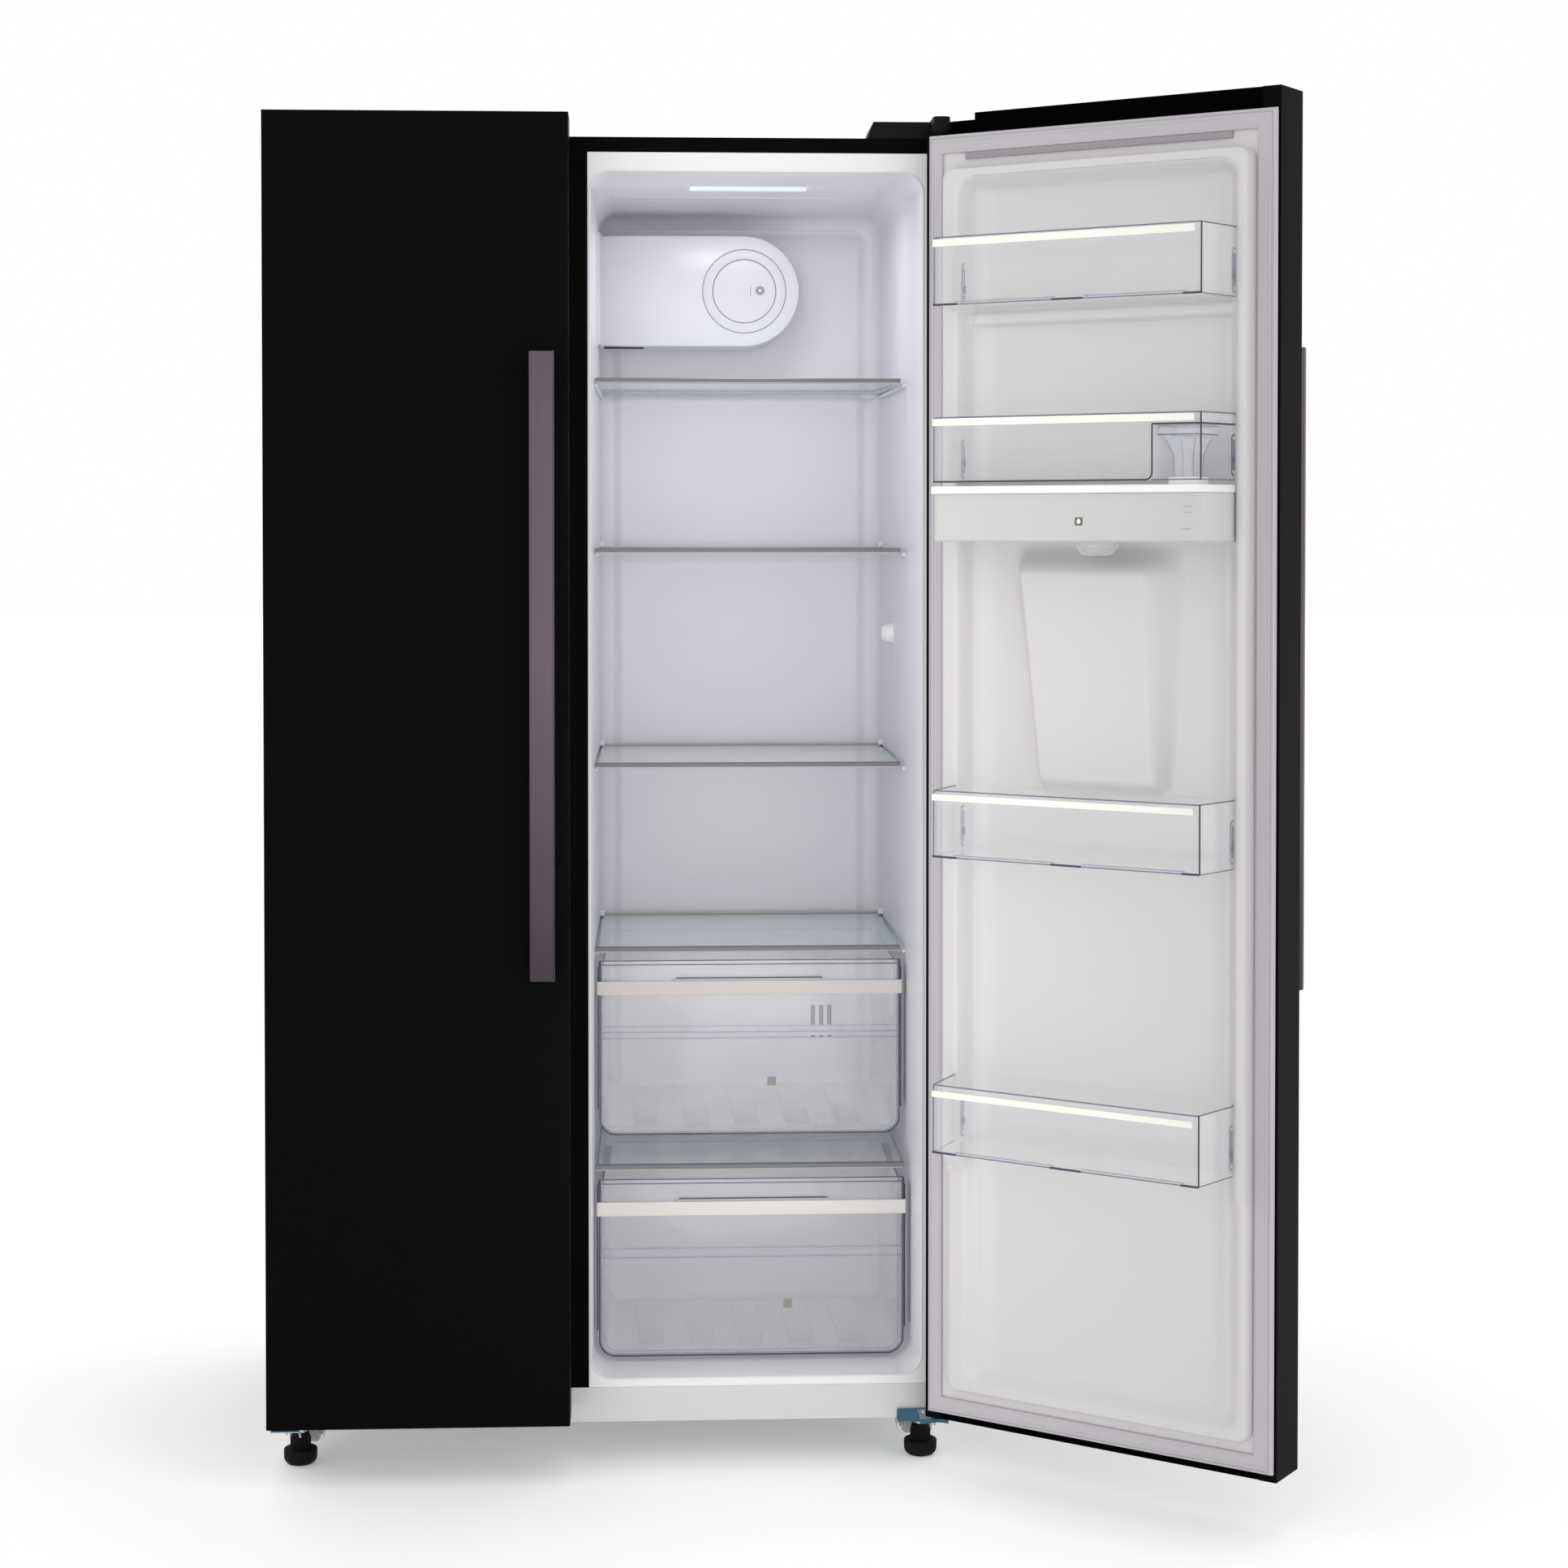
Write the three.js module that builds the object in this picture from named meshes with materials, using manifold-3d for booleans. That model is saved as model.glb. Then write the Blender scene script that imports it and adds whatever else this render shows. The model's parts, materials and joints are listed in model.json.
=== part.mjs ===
// Side by side refrigerator: freezer on the left with its door closed, fridge on the right with its
// door open. Millimetres, +X to the right, +Y from the door fronts to the back, +Z up.
import * as THREE from 'three';
import { mergeVertices } from 'three/addons/utils/BufferGeometryUtils.js';
import Module from 'manifold-3d';

const wasm = await Module();
wasm.setup();

// ---------------------------------------------------------------- driving dimensions
const WIDTH = 910;
const BACK = 668; // back of the case, from the closed door fronts
const CASE_BOTTOM = 60;
const CASE_TOP = 1797;
const FRONT = 80; // front plane of the case, behind the doors and their seals
const FLANGE = 20; // turned-in front edge of the steel case
const SHEET = 1; // steel sheet
const GAP = 0.3; // clearance between touching pieces

const DOOR_BOTTOM = 80;
const DOOR_TOP = 1819;
const DOOR_THICK = 70;
const LEFT_DOOR_WIDTH = 401;
const RIGHT_DOOR_WIDTH = 505.6;
const HINGE_INSET = 9.3; // hinge axis from the side of the case
const HINGE_DEPTH = 40.6; // hinge axis from the closed door front
const RIGHT_DOOR_OPEN = 144.3; // degrees

const MULLION = { left: 382.3, right: 424.3 };
const LINER_BOTTOM = 108;
const LINER_TOP = 1776.7;
const LINER_WALL = 2;
const LINER_BACK = 605; // inner face of the liners' back wall
const HUMP_FRONT = 430; // the machine bay pushes the lower back wall forward to here
const HUMP_TOP = 372;
const BAY_FRONT = 475;
const BAY_TOP = 330;

const SHELF_GLASS = 4;
const SHELF_FRONT = 219;
const SHELF_BACK = 587;
const FRIDGE_SHELVES = [1475, 1238, 938, 680]; // underside of each full-depth glass plate
const CRISPER_SHELF = { z: 388, front: 155, back: 425 };
const FREEZER_SHELVES = [1330, 960];
const CRISPER_TRAVEL_CLEARANCE = 3; // side gap between a drawer and the liner wall

const FOOT = { inset: 32, y: 115, radius: 23 };
const ROLLER = { radius: 22, inset: 32, frontY: 172, frontZ: 34, rearY: 625, rearZ: 22 };

// ---------------------------------------------------------------- finishes
const finish = (color, roughness, metalness = 0, extra = {}) => ({ color, roughness, metalness, ...extra });
const CLEAR = { transparent: true, opacity: 0.35 };
const LOOKS = {
  blackSteel: finish(0x141415, 0.38, 0.3),
  blackPlastic: finish(0x101011, 0.5),
  foam: finish(0xd9c79a, 0.95),
  liner: finish(0xdcdce2, 0.35),
  doorLiner: finish(0xe2e0e0, 0.35),
  greyPlastic: finish(0xd0d0ce, 0.5),
  gasket: finish(0xa9a4aa, 0.7),
  zinc: finish(0x9fb4bb, 0.35, 0.9),
  galvanised: finish(0x9a9da0, 0.5, 0.8),
  compressor: finish(0x151515, 0.4, 0.4),
  aluminium: finish(0xb5b8ba, 0.4, 0.9),
  bronze: finish(0x7d7378, 0.35, 0.85),
  glass: finish(0xcfe6e2, 0.05, 0, CLEAR),
  clear: finish(0xd5dbe6, 0.1, 0, CLEAR),
  tank: finish(0xe6ece8, 0.3, 0, CLEAR),
  whitePlastic: finish(0xefeeec, 0.4),
  roller: finish(0xb9b2a6, 0.6),
  rubber: finish(0x121212, 0.8),
};

// ---------------------------------------------------------------- shape helpers
// A closed three.js geometry as a solid that can be joined and cut.
function solid(geometry) {
  geometry.deleteAttribute('normal');
  geometry.deleteAttribute('uv');
  const merged = mergeVertices(geometry, 1e-4);
  return new wasm.Manifold(new wasm.Mesh({
    numProp: 3,
    vertProperties: new Float32Array(merged.attributes.position.array),
    triVerts: new Uint32Array(merged.index.array),
  }));
}

const box = (x0, x1, y0, y1, z0, z1) => solid(
  new THREE.BoxGeometry(x1 - x0, y1 - y0, z1 - z0)
    .translate((x0 + x1) / 2, (y0 + y1) / 2, (z0 + z1) / 2));

// A round bar along X, Y or Z from one end to the other, centred on the two other coordinates.
function bar(axis, radius, from, to, centre, sides = 20) {
  const geometry = new THREE.CylinderGeometry(radius, radius, to - from, sides);
  if (axis === 'x') {
    geometry.rotateZ(Math.PI / 2).translate((from + to) / 2, centre[0], centre[1]);
  } else if (axis === 'y') {
    geometry.translate(centre[0], (from + to) / 2, centre[1]);
  } else {
    geometry.rotateX(Math.PI / 2).translate(centre[0], centre[1], (from + to) / 2);
  }
  return solid(geometry);
}

const join = (...shapes) => shapes.reduce((all, shape) => all.add(shape));
const cut = (shape, ...tools) => tools.reduce((rest, tool) => rest.subtract(tool), shape);

// A rectangle with rounded corners, anticlockwise; radii go bottom left, bottom right, top right, top left.
function roundedRect(a0, a1, b0, b1, radii, steps = 4) {
  const r = Array.isArray(radii) ? radii : [radii, radii, radii, radii];
  const corners = [
    [a0 + r[0], b0 + r[0], r[0], Math.PI],
    [a1 - r[1], b0 + r[1], r[1], 1.5 * Math.PI],
    [a1 - r[2], b1 - r[2], r[2], 0],
    [a0 + r[3], b1 - r[3], r[3], 0.5 * Math.PI],
  ];
  return corners.flatMap(([ca, cb, radius, start]) => Array.from({ length: steps + 1 }, (_, i) => {
    const angle = start + (i / steps) * (Math.PI / 2);
    return [ca + radius * Math.cos(angle), cb + radius * Math.sin(angle)];
  }));
}

// A closed body through outlines of equal point counts, each at its own station along an axis.
function loft(axis, sections) {
  const count = sections[0][1].length;
  const place = {
    x: (s, [a, b]) => [s, a, b],
    y: (s, [a, b]) => [a, s, b],
    z: (s, [a, b]) => [a, b, s],
  }[axis];
  const points = sections.flatMap(([station, outline]) => outline.map((p) => place(station, p)));
  const faces = [];
  for (let k = 0; k < sections.length - 1; k += 1) {
    for (let i = 0; i < count; i += 1) {
      const a = k * count + i;
      const b = k * count + ((i + 1) % count);
      faces.push([a, b, b + count], [a, b + count, a + count]);
    }
  }
  const cap = THREE.ShapeUtils.triangulateShape(sections[0][1].map(([a, b]) => new THREE.Vector2(a, b)), []);
  const last = (sections.length - 1) * count;
  cap.forEach(([a, b, c]) => faces.push([c, b, a], [a + last, b + last, c + last]));
  // one axis order turns the faces inside out, so the signed volume decides
  const volume = faces.reduce((sum, [a, b, c]) => {
    const [p, q, r] = [points[a], points[b], points[c]].map((v) => new THREE.Vector3(...v));
    return sum + p.dot(q.cross(r));
  }, 0);
  const turned = volume > 0 ? faces : faces.map(([a, b, c]) => [a, c, b]);
  const geometry = new THREE.BufferGeometry();
  geometry.setAttribute('position', new THREE.Float32BufferAttribute(points.flat(), 3));
  geometry.setIndex(turned.flat());
  return solid(geometry);
}

const prism = (axis, from, to, outline) => loft(axis, [[from, outline], [to, outline]]);

// ---------------------------------------------------------------- scene graph
const refrigerator = new THREE.Group();
const cabinet = new THREE.Group();
const leftDoor = new THREE.Group();
const rightDoor = new THREE.Group(); // turns about its hinge axis
const rightDoorClosed = new THREE.Group(); // what the right door carries, laid out as when closed
const RIGHT_AXIS = [WIDTH - HINGE_INSET, HINGE_DEPTH, 0];
rightDoor.position.set(...RIGHT_AXIS);
rightDoor.rotation.z = THREE.MathUtils.degToRad(RIGHT_DOOR_OPEN);
rightDoorClosed.position.set(...RIGHT_AXIS.map((v) => -v));
rightDoor.add(rightDoorClosed);
refrigerator.add(cabinet, leftDoor, rightDoor);

// Adds a solid as a named mesh; a mirrored piece is laid out from the left side and moved to the right.
function add(parent, name, shape, look, mirrored = false) {
  const { vertProperties, triVerts } = shape.getMesh();
  const positions = Float32Array.from(vertProperties);
  const index = Uint32Array.from(triVerts);
  if (mirrored) {
    for (let i = 0; i < positions.length; i += 3) positions[i] = WIDTH - positions[i];
    for (let i = 0; i < index.length; i += 3) [index[i], index[i + 1]] = [index[i + 1], index[i]];
  }
  const geometry = new THREE.BufferGeometry();
  geometry.setAttribute('position', new THREE.BufferAttribute(positions, 3));
  geometry.setIndex(new THREE.BufferAttribute(index, 1));
  geometry.computeVertexNormals();
  const mesh = new THREE.Mesh(geometry, new THREE.MeshStandardMaterial(look));
  mesh.name = name;
  parent.add(mesh);
}

// ---------------------------------------------------------------- case and liners
const CASE_LEFT = SHEET + GAP;
const CASE_RIGHT = WIDTH - SHEET - GAP;

function outerCase() {
  const full = box(0, WIDTH, FRONT, BACK, CASE_BOTTOM, CASE_TOP);
  const inside = box(SHEET, WIDTH - SHEET, FRONT + SHEET, BACK + 1, CASE_BOTTOM - 1, CASE_TOP - SHEET);
  const window = box(FLANGE, WIDTH - FLANGE, FRONT - 1, FRONT + 2, CASE_BOTTOM - 1, CASE_TOP - FLANGE);
  return cut(full, inside, window);
}

// The inside of a compartment: a flared mouth, walls that taper to the back, and the hump at the bottom.
function compartment(left, right, grow) {
  const mouth = (x0, x1, z0, z1, r) => roundedRect(x0 - grow, x1 + grow, z0 - grow, z1 + grow, r + grow);
  const main = loft('y', [
    [FRONT - (grow ? 0 : 1), mouth(left, right, 120, 1751, 28)],
    [FRONT + 35, mouth(left + 2, right - 8, 124, 1747, 28)],
    [HUMP_FRONT + grow, mouth(left + 4, right - 13, 128, 1746, 24)],
  ]);
  const upper = loft('y', [
    [HUMP_FRONT - 5, mouth(left + 4, right - 13, HUMP_TOP, 1746, 22)],
    [LINER_BACK + grow, mouth(left + 6, right - 16, HUMP_TOP, 1745, 22)],
  ]);
  return join(main, upper);
}

const FRIDGE = { left: 428, right: 876 };
const FREEZER = { left: 34, right: 378.3 };

function liner({ left, right }, flangeLeft, flangeRight, shelfUndersides) {
  const flange = box(flangeLeft, flangeRight, FRONT, FRONT + LINER_WALL, LINER_BOTTOM, LINER_TOP);
  const shell = cut(join(flange, compartment(left, right, LINER_WALL)), compartment(left, right, 0));
  // a ledge each side under every shelf
  const ledges = shelfUndersides.flatMap(({ z, front, back }) => [
    box(left, left + 10, front, back, z - 9, z - GAP),
    box(right - 22, right, front, back, z - 9, z - GAP),
  ]).map((ledge) => ledge.intersect(compartment(left, right, LINER_WALL / 2)));
  return join(shell, ...ledges);
}

function insulation() {
  const block = box(CASE_LEFT, CASE_RIGHT, FRONT + 4.3, BACK - 1, CASE_BOTTOM + 2, CASE_TOP - SHEET - GAP);
  const bay = box(0, WIDTH, BAY_FRONT - GAP, BACK, 0, BAY_TOP + 1 + GAP);
  const grow = LINER_WALL + GAP;
  return cut(block, bay, compartment(FRIDGE.left, FRIDGE.right, grow),
    compartment(FREEZER.left, FREEZER.right, grow));
}

// Stepped steel floor: under the compartments, up and over the machine bay, and its compressor floor.
function basePan() {
  const floor = box(CASE_LEFT, CASE_RIGHT, FRONT + 4.3, BACK - 1, CASE_BOTTOM, CASE_BOTTOM + 1.5);
  const riser = box(CASE_LEFT, CASE_RIGHT, BAY_FRONT, BAY_FRONT + SHEET, CASE_BOTTOM, BAY_TOP + SHEET);
  const roof = box(CASE_LEFT, CASE_RIGHT, BAY_FRONT, BACK - 1, BAY_TOP, BAY_TOP + SHEET);
  const { rearY: y, rearZ: z } = ROLLER;
  const cheeks = [ROLLER.inset, WIDTH - ROLLER.inset].flatMap((x) => [-15, 13].map((side) => cut(
    box(x + side, x + side + 2, y - 14, y + 14, z - 9, CASE_BOTTOM + 1),
    bar('x', 4.5, x - 20, x + 20, [y, z], 16))));
  return join(floor, riser, roof, ...cheeks);
}

function slottedPanel(z0, z1, y0, y1, rows) {
  const panel = box(CASE_LEFT, CASE_RIGHT, y0, y1, z0, z1);
  const slots = [];
  for (const z of rows) {
    for (let x = 90; x < WIDTH - 120; x += 110) slots.push(box(x, x + 70, y0 - 1, y1 + 1, z, z + 7));
  }
  return cut(panel, ...slots);
}

add(cabinet, 'outer_case', outerCase(), LOOKS.blackSteel);
add(cabinet, 'cabinet_insulation', insulation(), LOOKS.foam);
const crisperLedge = { z: CRISPER_SHELF.z, front: 165, back: 420 };
const fullLedge = (z) => ({ z, front: 235, back: 575 });
add(cabinet, 'fridge_liner',
  liner(FRIDGE, MULLION.right + GAP, WIDTH - FLANGE - GAP, [...FRIDGE_SHELVES.map(fullLedge), crisperLedge]),
  LOOKS.liner);
add(cabinet, 'freezer_liner',
  liner(FREEZER, FLANGE + GAP, MULLION.left - GAP,
    FREEZER_SHELVES.map((z) => ({ z, front: 235, back: 540 }))),
  LOOKS.liner);
add(cabinet, 'centre_mullion',
  box(MULLION.left, MULLION.right, FRONT, FRONT + 4, LINER_BOTTOM, LINER_TOP), LOOKS.blackSteel);
add(cabinet, 'plinth',
  box(FLANGE + GAP, WIDTH - FLANGE - GAP, FRONT, FRONT + 4, CASE_BOTTOM + 1, LINER_BOTTOM - GAP),
  LOOKS.greyPlastic);
add(cabinet, 'base_pan', basePan(), LOOKS.galvanised);
add(cabinet, 'back_panel',
  box(CASE_LEFT, CASE_RIGHT, BACK - 0.7, BACK + 0.3, BAY_TOP + 2, CASE_TOP - SHEET - GAP), LOOKS.galvanised);
add(cabinet, 'machine_bay_cover',
  slottedPanel(CASE_BOTTOM + 2.5, BAY_TOP - 1, BACK - 0.7, BACK + 0.8, [120, 160, 240, 280]),
  LOOKS.galvanised);

// ---------------------------------------------------------------- cooling system
function compressor() {
  const [x, y] = [700, 570];
  const profile = [[0, 78], [66, 78], [74, 92], [76, 150], [72, 205], [52, 238], [0, 250]];
  const can = new THREE.LatheGeometry(profile.map(([r, z]) => new THREE.Vector2(r, z)), 24);
  can.rotateX(Math.PI / 2).translate(x, y, 0);
  const plate = box(x - 95, x + 95, y - 60, y + 60, 72, 80);
  const feet = [-80, 80].flatMap((dx) => [-45, 45].map((dy) => bar('z', 10, 62, 73, [x + dx, y + dy], 12)));
  const pipes = [-40, 40].map((dx) => bar('z', 4, 200, 285, [x + dx, y], 10));
  return join(solid(can), plate, ...feet, ...pipes);
}

const EVAPORATOR = { x0: 70, x1: 340, z0: 420, z1: 820, y0: 568, y1: 600 };
const FAN = { x: 206, z: 960, radius: 52 };

function evaporator() {
  const { x0, x1, z0, z1, y0, y1 } = EVAPORATOR;
  const fins = Array.from({ length: 9 }, (_, i) => {
    const x = x0 + (i * (x1 - x0 - 3)) / 8;
    return box(x, x + 3, y0, y1, z0, z1);
  });
  const tubes = [0.2, 0.8].map((t) =>
    bar('x', 5, x0 - 8, x1 + 8, [(y0 + y1) / 2, z0 + t * (z1 - z0)], 8));
  return join(...fins, ...tubes);
}

function evaporatorCover() {
  const panel = prism('y', 560, 563, roundedRect(42, 361, 378, 1735, 14));
  const slots = [1120, 1240, 1480, 1600].flatMap((z) =>
    [90, 180, 270].map((x) => box(x, x + 60, 555, 565, z, z + 12)));
  return cut(panel, bar('y', FAN.radius + 4, 555, 570, [FAN.x, FAN.z], 28), ...slots);
}

function fan() {
  const hub = bar('y', 14, 566, 590, [FAN.x, FAN.z], 16);
  const blades = Array.from({ length: 5 }, (_, i) => {
    const blade = new THREE.BoxGeometry(FAN.radius - 8, 2.5, 26);
    blade.rotateX(0.5).translate((FAN.radius + 8) / 2, 0, 0).rotateY((i * 2 * Math.PI) / 5);
    return solid(blade.translate(FAN.x, 578, FAN.z));
  });
  return join(hub, ...blades);
}

add(cabinet, 'compressor', compressor(), LOOKS.compressor);
add(cabinet, 'evaporator_coil', evaporator(), LOOKS.aluminium);
add(cabinet, 'evaporator_cover', evaporatorCover(), LOOKS.liner);
add(cabinet, 'evaporator_fan', fan(), LOOKS.blackPlastic);

// Air duct cover on the fridge's back wall: a box that ends in a half round, open towards the wall.
function airDuctCover() {
  const outline = (inset) => {
    const [z0, z1, centre] = [1541 + inset, 1709 - inset, 648];
    const radius = (z1 - z0) / 2;
    const round = Array.from({ length: 15 }, (_, i) => {
      const angle = -Math.PI / 2 + (i / 14) * Math.PI;
      return [centre + radius * Math.cos(angle), (z0 + z1) / 2 + radius * Math.sin(angle)];
    });
    return [[436 + inset, z1], [436 + inset, z0], ...round];
  };
  return cut(prism('y', 500, LINER_BACK - 1, outline(0)), prism('y', 503, LINER_BACK, outline(3)));
}
add(cabinet, 'air_duct_cover', airDuctCover(), LOOKS.liner);

// ---------------------------------------------------------------- shelves and drawers
function shelf({ left, right }, z, front, back) {
  return prism('z', z, z + SHELF_GLASS, roundedRect(left + 6.7, right - 17.3, front, back, [1, 1, 8, 8], 3));
}

FRIDGE_SHELVES.forEach((z, i) => {
  add(cabinet, `fridge_shelf_${i + 1}`, shelf(FRIDGE, z, SHELF_FRONT, SHELF_BACK), LOOKS.glass);
});
add(cabinet, 'crisper_shelf',
  shelf(FRIDGE, CRISPER_SHELF.z, CRISPER_SHELF.front, CRISPER_SHELF.back), LOOKS.glass);
FREEZER_SHELVES.forEach((z, i) => {
  add(cabinet, `freezer_shelf_${i + 1}`, shelf(FREEZER, z, SHELF_FRONT, 550), LOOKS.glass);
});

// An open-topped drawer: rounded bottom corners, sides and back drawn in a little.
function drawer({ left, right }, front, back, z0, z1, wall = 3) {
  const x0 = left + 6.5 + CRISPER_TRAVEL_CLEARANCE;
  const x1 = right - 16 - CRISPER_TRAVEL_CLEARANCE;
  const outline = (inset, draw, top) => roundedRect(
    x0 + inset + draw, x1 - inset - draw, z0 + inset, top,
    [24, 24, 0.5, 0.5].map((r) => Math.max(r - inset, 0.4)));
  return cut(
    loft('y', [[front, outline(0, 0, z1)], [back, outline(0, 8, z1)]]),
    loft('y', [[front + wall, outline(wall, 0, z1 + 5)], [back - wall, outline(wall, 8, z1 + 5)]]));
}

add(cabinet, 'upper_crisper', drawer(FRIDGE, 205, 560, 424, 669), LOOKS.clear);
add(cabinet, 'lower_crisper', drawer(FRIDGE, 142, 420, 131, 377), LOOKS.clear);
add(cabinet, 'freezer_drawer_upper', drawer(FREEZER, 215, 545, 400, 640), LOOKS.clear);
add(cabinet, 'freezer_drawer_lower', drawer(FREEZER, 190, 420, 131, 365), LOOKS.clear);

// ---------------------------------------------------------------- hinges, feet and rollers
const RECESS_FLOOR = 1795; // pocket in the door top that the hinge arm lies over
const PIN_RADIUS = 5;
const BORE_RADIUS = 6;
const HINGE_AXIS = [HINGE_INSET, HINGE_DEPTH];

function topHinge() {
  const [z0, z1] = [CASE_TOP + GAP, CASE_TOP + 3.3];
  const plate = box(4, 60, 86, 170, z0, z1);
  const arm = prism('z', z0, z1, roundedRect(4, 21.5, 28, 90, [5, 5, 1, 1], 4));
  const pin = bar('z', PIN_RADIUS, RECESS_FLOOR - 20, z1, HINGE_AXIS, 20);
  const screws = [[20, 110], [20, 150], [48, 110], [48, 150]].map((at) =>
    bar('z', 5, z0 + 1, z1 + 3, at, 12));
  return join(plate, arm, pin, ...screws);
}

function topHingeCover() {
  const [z0, z1] = [CASE_TOP + GAP, 1820];
  const wall = 2;
  const profile = (inset, bottom) => [
    [1.5 + inset, bottom], [109 - inset, bottom], [100 - inset, z1 - inset], [1.5 + inset, z1 - inset]];
  const shell = cut(
    prism('y', 83, 190, profile(0, z0)), prism('y', 83 + wall, 190 - wall, profile(wall, z0 - 1)));
  const tongue = prism('z', z0 + 3.6, z1, roundedRect(1.5, 24, 26, 84, [8, 8, 0.5, 0.5], 4));
  const armSlot = box(2, 23, 80, 88, z0 - 1, z0 + 3.6);
  return cut(join(shell, tongue), armSlot);
}

function bottomHinge() {
  const flange = box(3, 40, 27, 79.6, 71, 74);
  const web = box(3, 66, 76.6, 79.6, 56.7, 74);
  const footPlate = box(3, 66, 76.6, 205, 56.7, 59.7);
  const pin = bar('z', PIN_RADIUS, 71, DOOR_BOTTOM + 20, HINGE_AXIS, 20);
  const { inset, frontY: y, frontZ: z } = ROLLER;
  const cheeks = [inset - 25, inset + 23].map((x) => box(x, x + 2, y - 18, y + 18, z - 8, 58));
  return cut(join(flange, web, footPlate, pin, ...cheeks),
    bar('z', 5.3, 50, 65, [FOOT.inset, FOOT.y], 16),
    bar('x', 4.5, inset - 30, inset + 30, [y, z], 16));
}

// Levelling foot: a ribbed cup, a collar and the threaded stud that goes up through the hinge bracket.
function foot() {
  const profile = [[0, 0], [15, 0], [20, 4], [FOOT.radius, 20], [FOOT.radius - 2, 22], [13, 22], [11, 42],
    [4.8, 42], [4.8, 59.5], [0, 59.5]];
  const cup = new THREE.LatheGeometry(profile.map(([r, z]) => new THREE.Vector2(r, z)), 20);
  return solid(cup.rotateX(Math.PI / 2).translate(FOOT.inset, FOOT.y, 0));
}

function roller(y, z, halfWidth, axle) {
  const { inset: x, radius: r } = ROLLER;
  const profile = [[-halfWidth, 0], [-halfWidth, r - 3], [-halfWidth + 3, r], [halfWidth - 3, r],
    [halfWidth, r - 3], [halfWidth, 0]];
  const wheel = new THREE.LatheGeometry(profile.map(([s, radius]) => new THREE.Vector2(radius, s)), 18);
  wheel.rotateZ(-Math.PI / 2).translate(x, y, z);
  return join(solid(wheel), bar('x', 4, x - axle, x + axle, [y, z], 12));
}

for (const [side, mirrored] of [['left', false], ['right', true]]) {
  add(cabinet, `top_hinge_${side}`, topHinge(), LOOKS.zinc, mirrored);
  add(cabinet, `hinge_cover_${side}`, topHingeCover(), LOOKS.blackPlastic, mirrored);
  add(cabinet, `bottom_hinge_${side}`, bottomHinge(), LOOKS.zinc, mirrored);
  add(cabinet, `levelling_foot_${side}`, foot(), LOOKS.rubber, mirrored);
  add(cabinet, `front_roller_${side}`, roller(ROLLER.frontY, ROLLER.frontZ, 20, 27), LOOKS.roller, mirrored);
  add(cabinet, `rear_roller_${side}`, roller(ROLLER.rearY, ROLLER.rearZ, 11, 17), LOOKS.roller, mirrored);
}

// ---------------------------------------------------------------- doors
// A door is laid out with its hinge end at x = 0; the right door's pieces are then mirrored.
const RECESS = { length: 73, lip: 12 };
const LINER_FACE = DOOR_THICK + 2; // front of the flat inner panel
const DIKE_TOP = DOOR_THICK + 32; // the raised rim that holds the bins
const SEAL = { hinge: 16, hingeInner: 30, free: 2.6, freeInner: 27, bottom: 95, top: 1790,
  innerBottom: 115, innerTop: 1767 };
const topPocket = () => box(-1, RECESS.length, RECESS.lip, DOOR_THICK + 1, RECESS_FLOOR, DOOR_TOP + 1);

// Dispenser niche: wider at the top, behind the middle of the right door.
const NICHE = { centre: 278, bottom: 934, top: 1248, halfTop: 118, halfBottom: 87 };

function nicheOutline(inset, r = 20) {
  const { centre, bottom, top, halfTop, halfBottom } = NICHE;
  const rect = roundedRect(-1, 1, bottom + inset, top - inset, 0.001, 4);
  return rect.map(([side, z], i) => {
    const t = (z - bottom) / (top - bottom);
    const half = halfBottom + t * (halfTop - halfBottom) - inset;
    const corner = Math.floor(i / 5);
    const angle = (i % 5) / 4 * (Math.PI / 2) + [Math.PI, 1.5 * Math.PI, 0, 0.5 * Math.PI][corner];
    const round = [r * Math.cos(angle), r * Math.sin(angle)];
    const inward = -Math.sign(z - (bottom + top) / 2) * r;
    return [centre + Math.sign(side) * (half - r) + round[0], z + inward + round[1]];
  });
}

function doorSkin(width, opening) {
  const outer = prism('z', DOOR_BOTTOM, DOOR_TOP, roundedRect(0, width, 0, DOOR_THICK, [3, 3, 1, 1], 3));
  const inside = box(SHEET, width - SHEET, SHEET, DOOR_THICK - SHEET, DOOR_BOTTOM - 1, DOOR_TOP + 1);
  const back = box(24, width - 24, DOOR_THICK - 5, DOOR_THICK + 1, DOOR_BOTTOM - 1, DOOR_TOP + 1);
  return cut(outer, inside, back, topPocket(), ...opening);
}

function doorCore(width, opening) {
  const inner = SHEET + GAP;
  const body = join(
    box(inner, width - inner, inner, DOOR_THICK - inner, DOOR_BOTTOM + 0.5, DOOR_TOP - 0.5),
    box(24 + GAP, width - 24 - GAP, DOOR_THICK - 10, DOOR_THICK, DOOR_BOTTOM + 0.5, DOOR_TOP - 0.5));
  const bores = [[RECESS_FLOOR - 24, DOOR_TOP], [DOOR_BOTTOM - 1, DOOR_BOTTOM + 24]].map(
    ([z0, z1]) => bar('z', BORE_RADIUS, z0, z1, HINGE_AXIS, 20));
  return cut(body, topPocket(), ...bores, ...opening);
}

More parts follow.
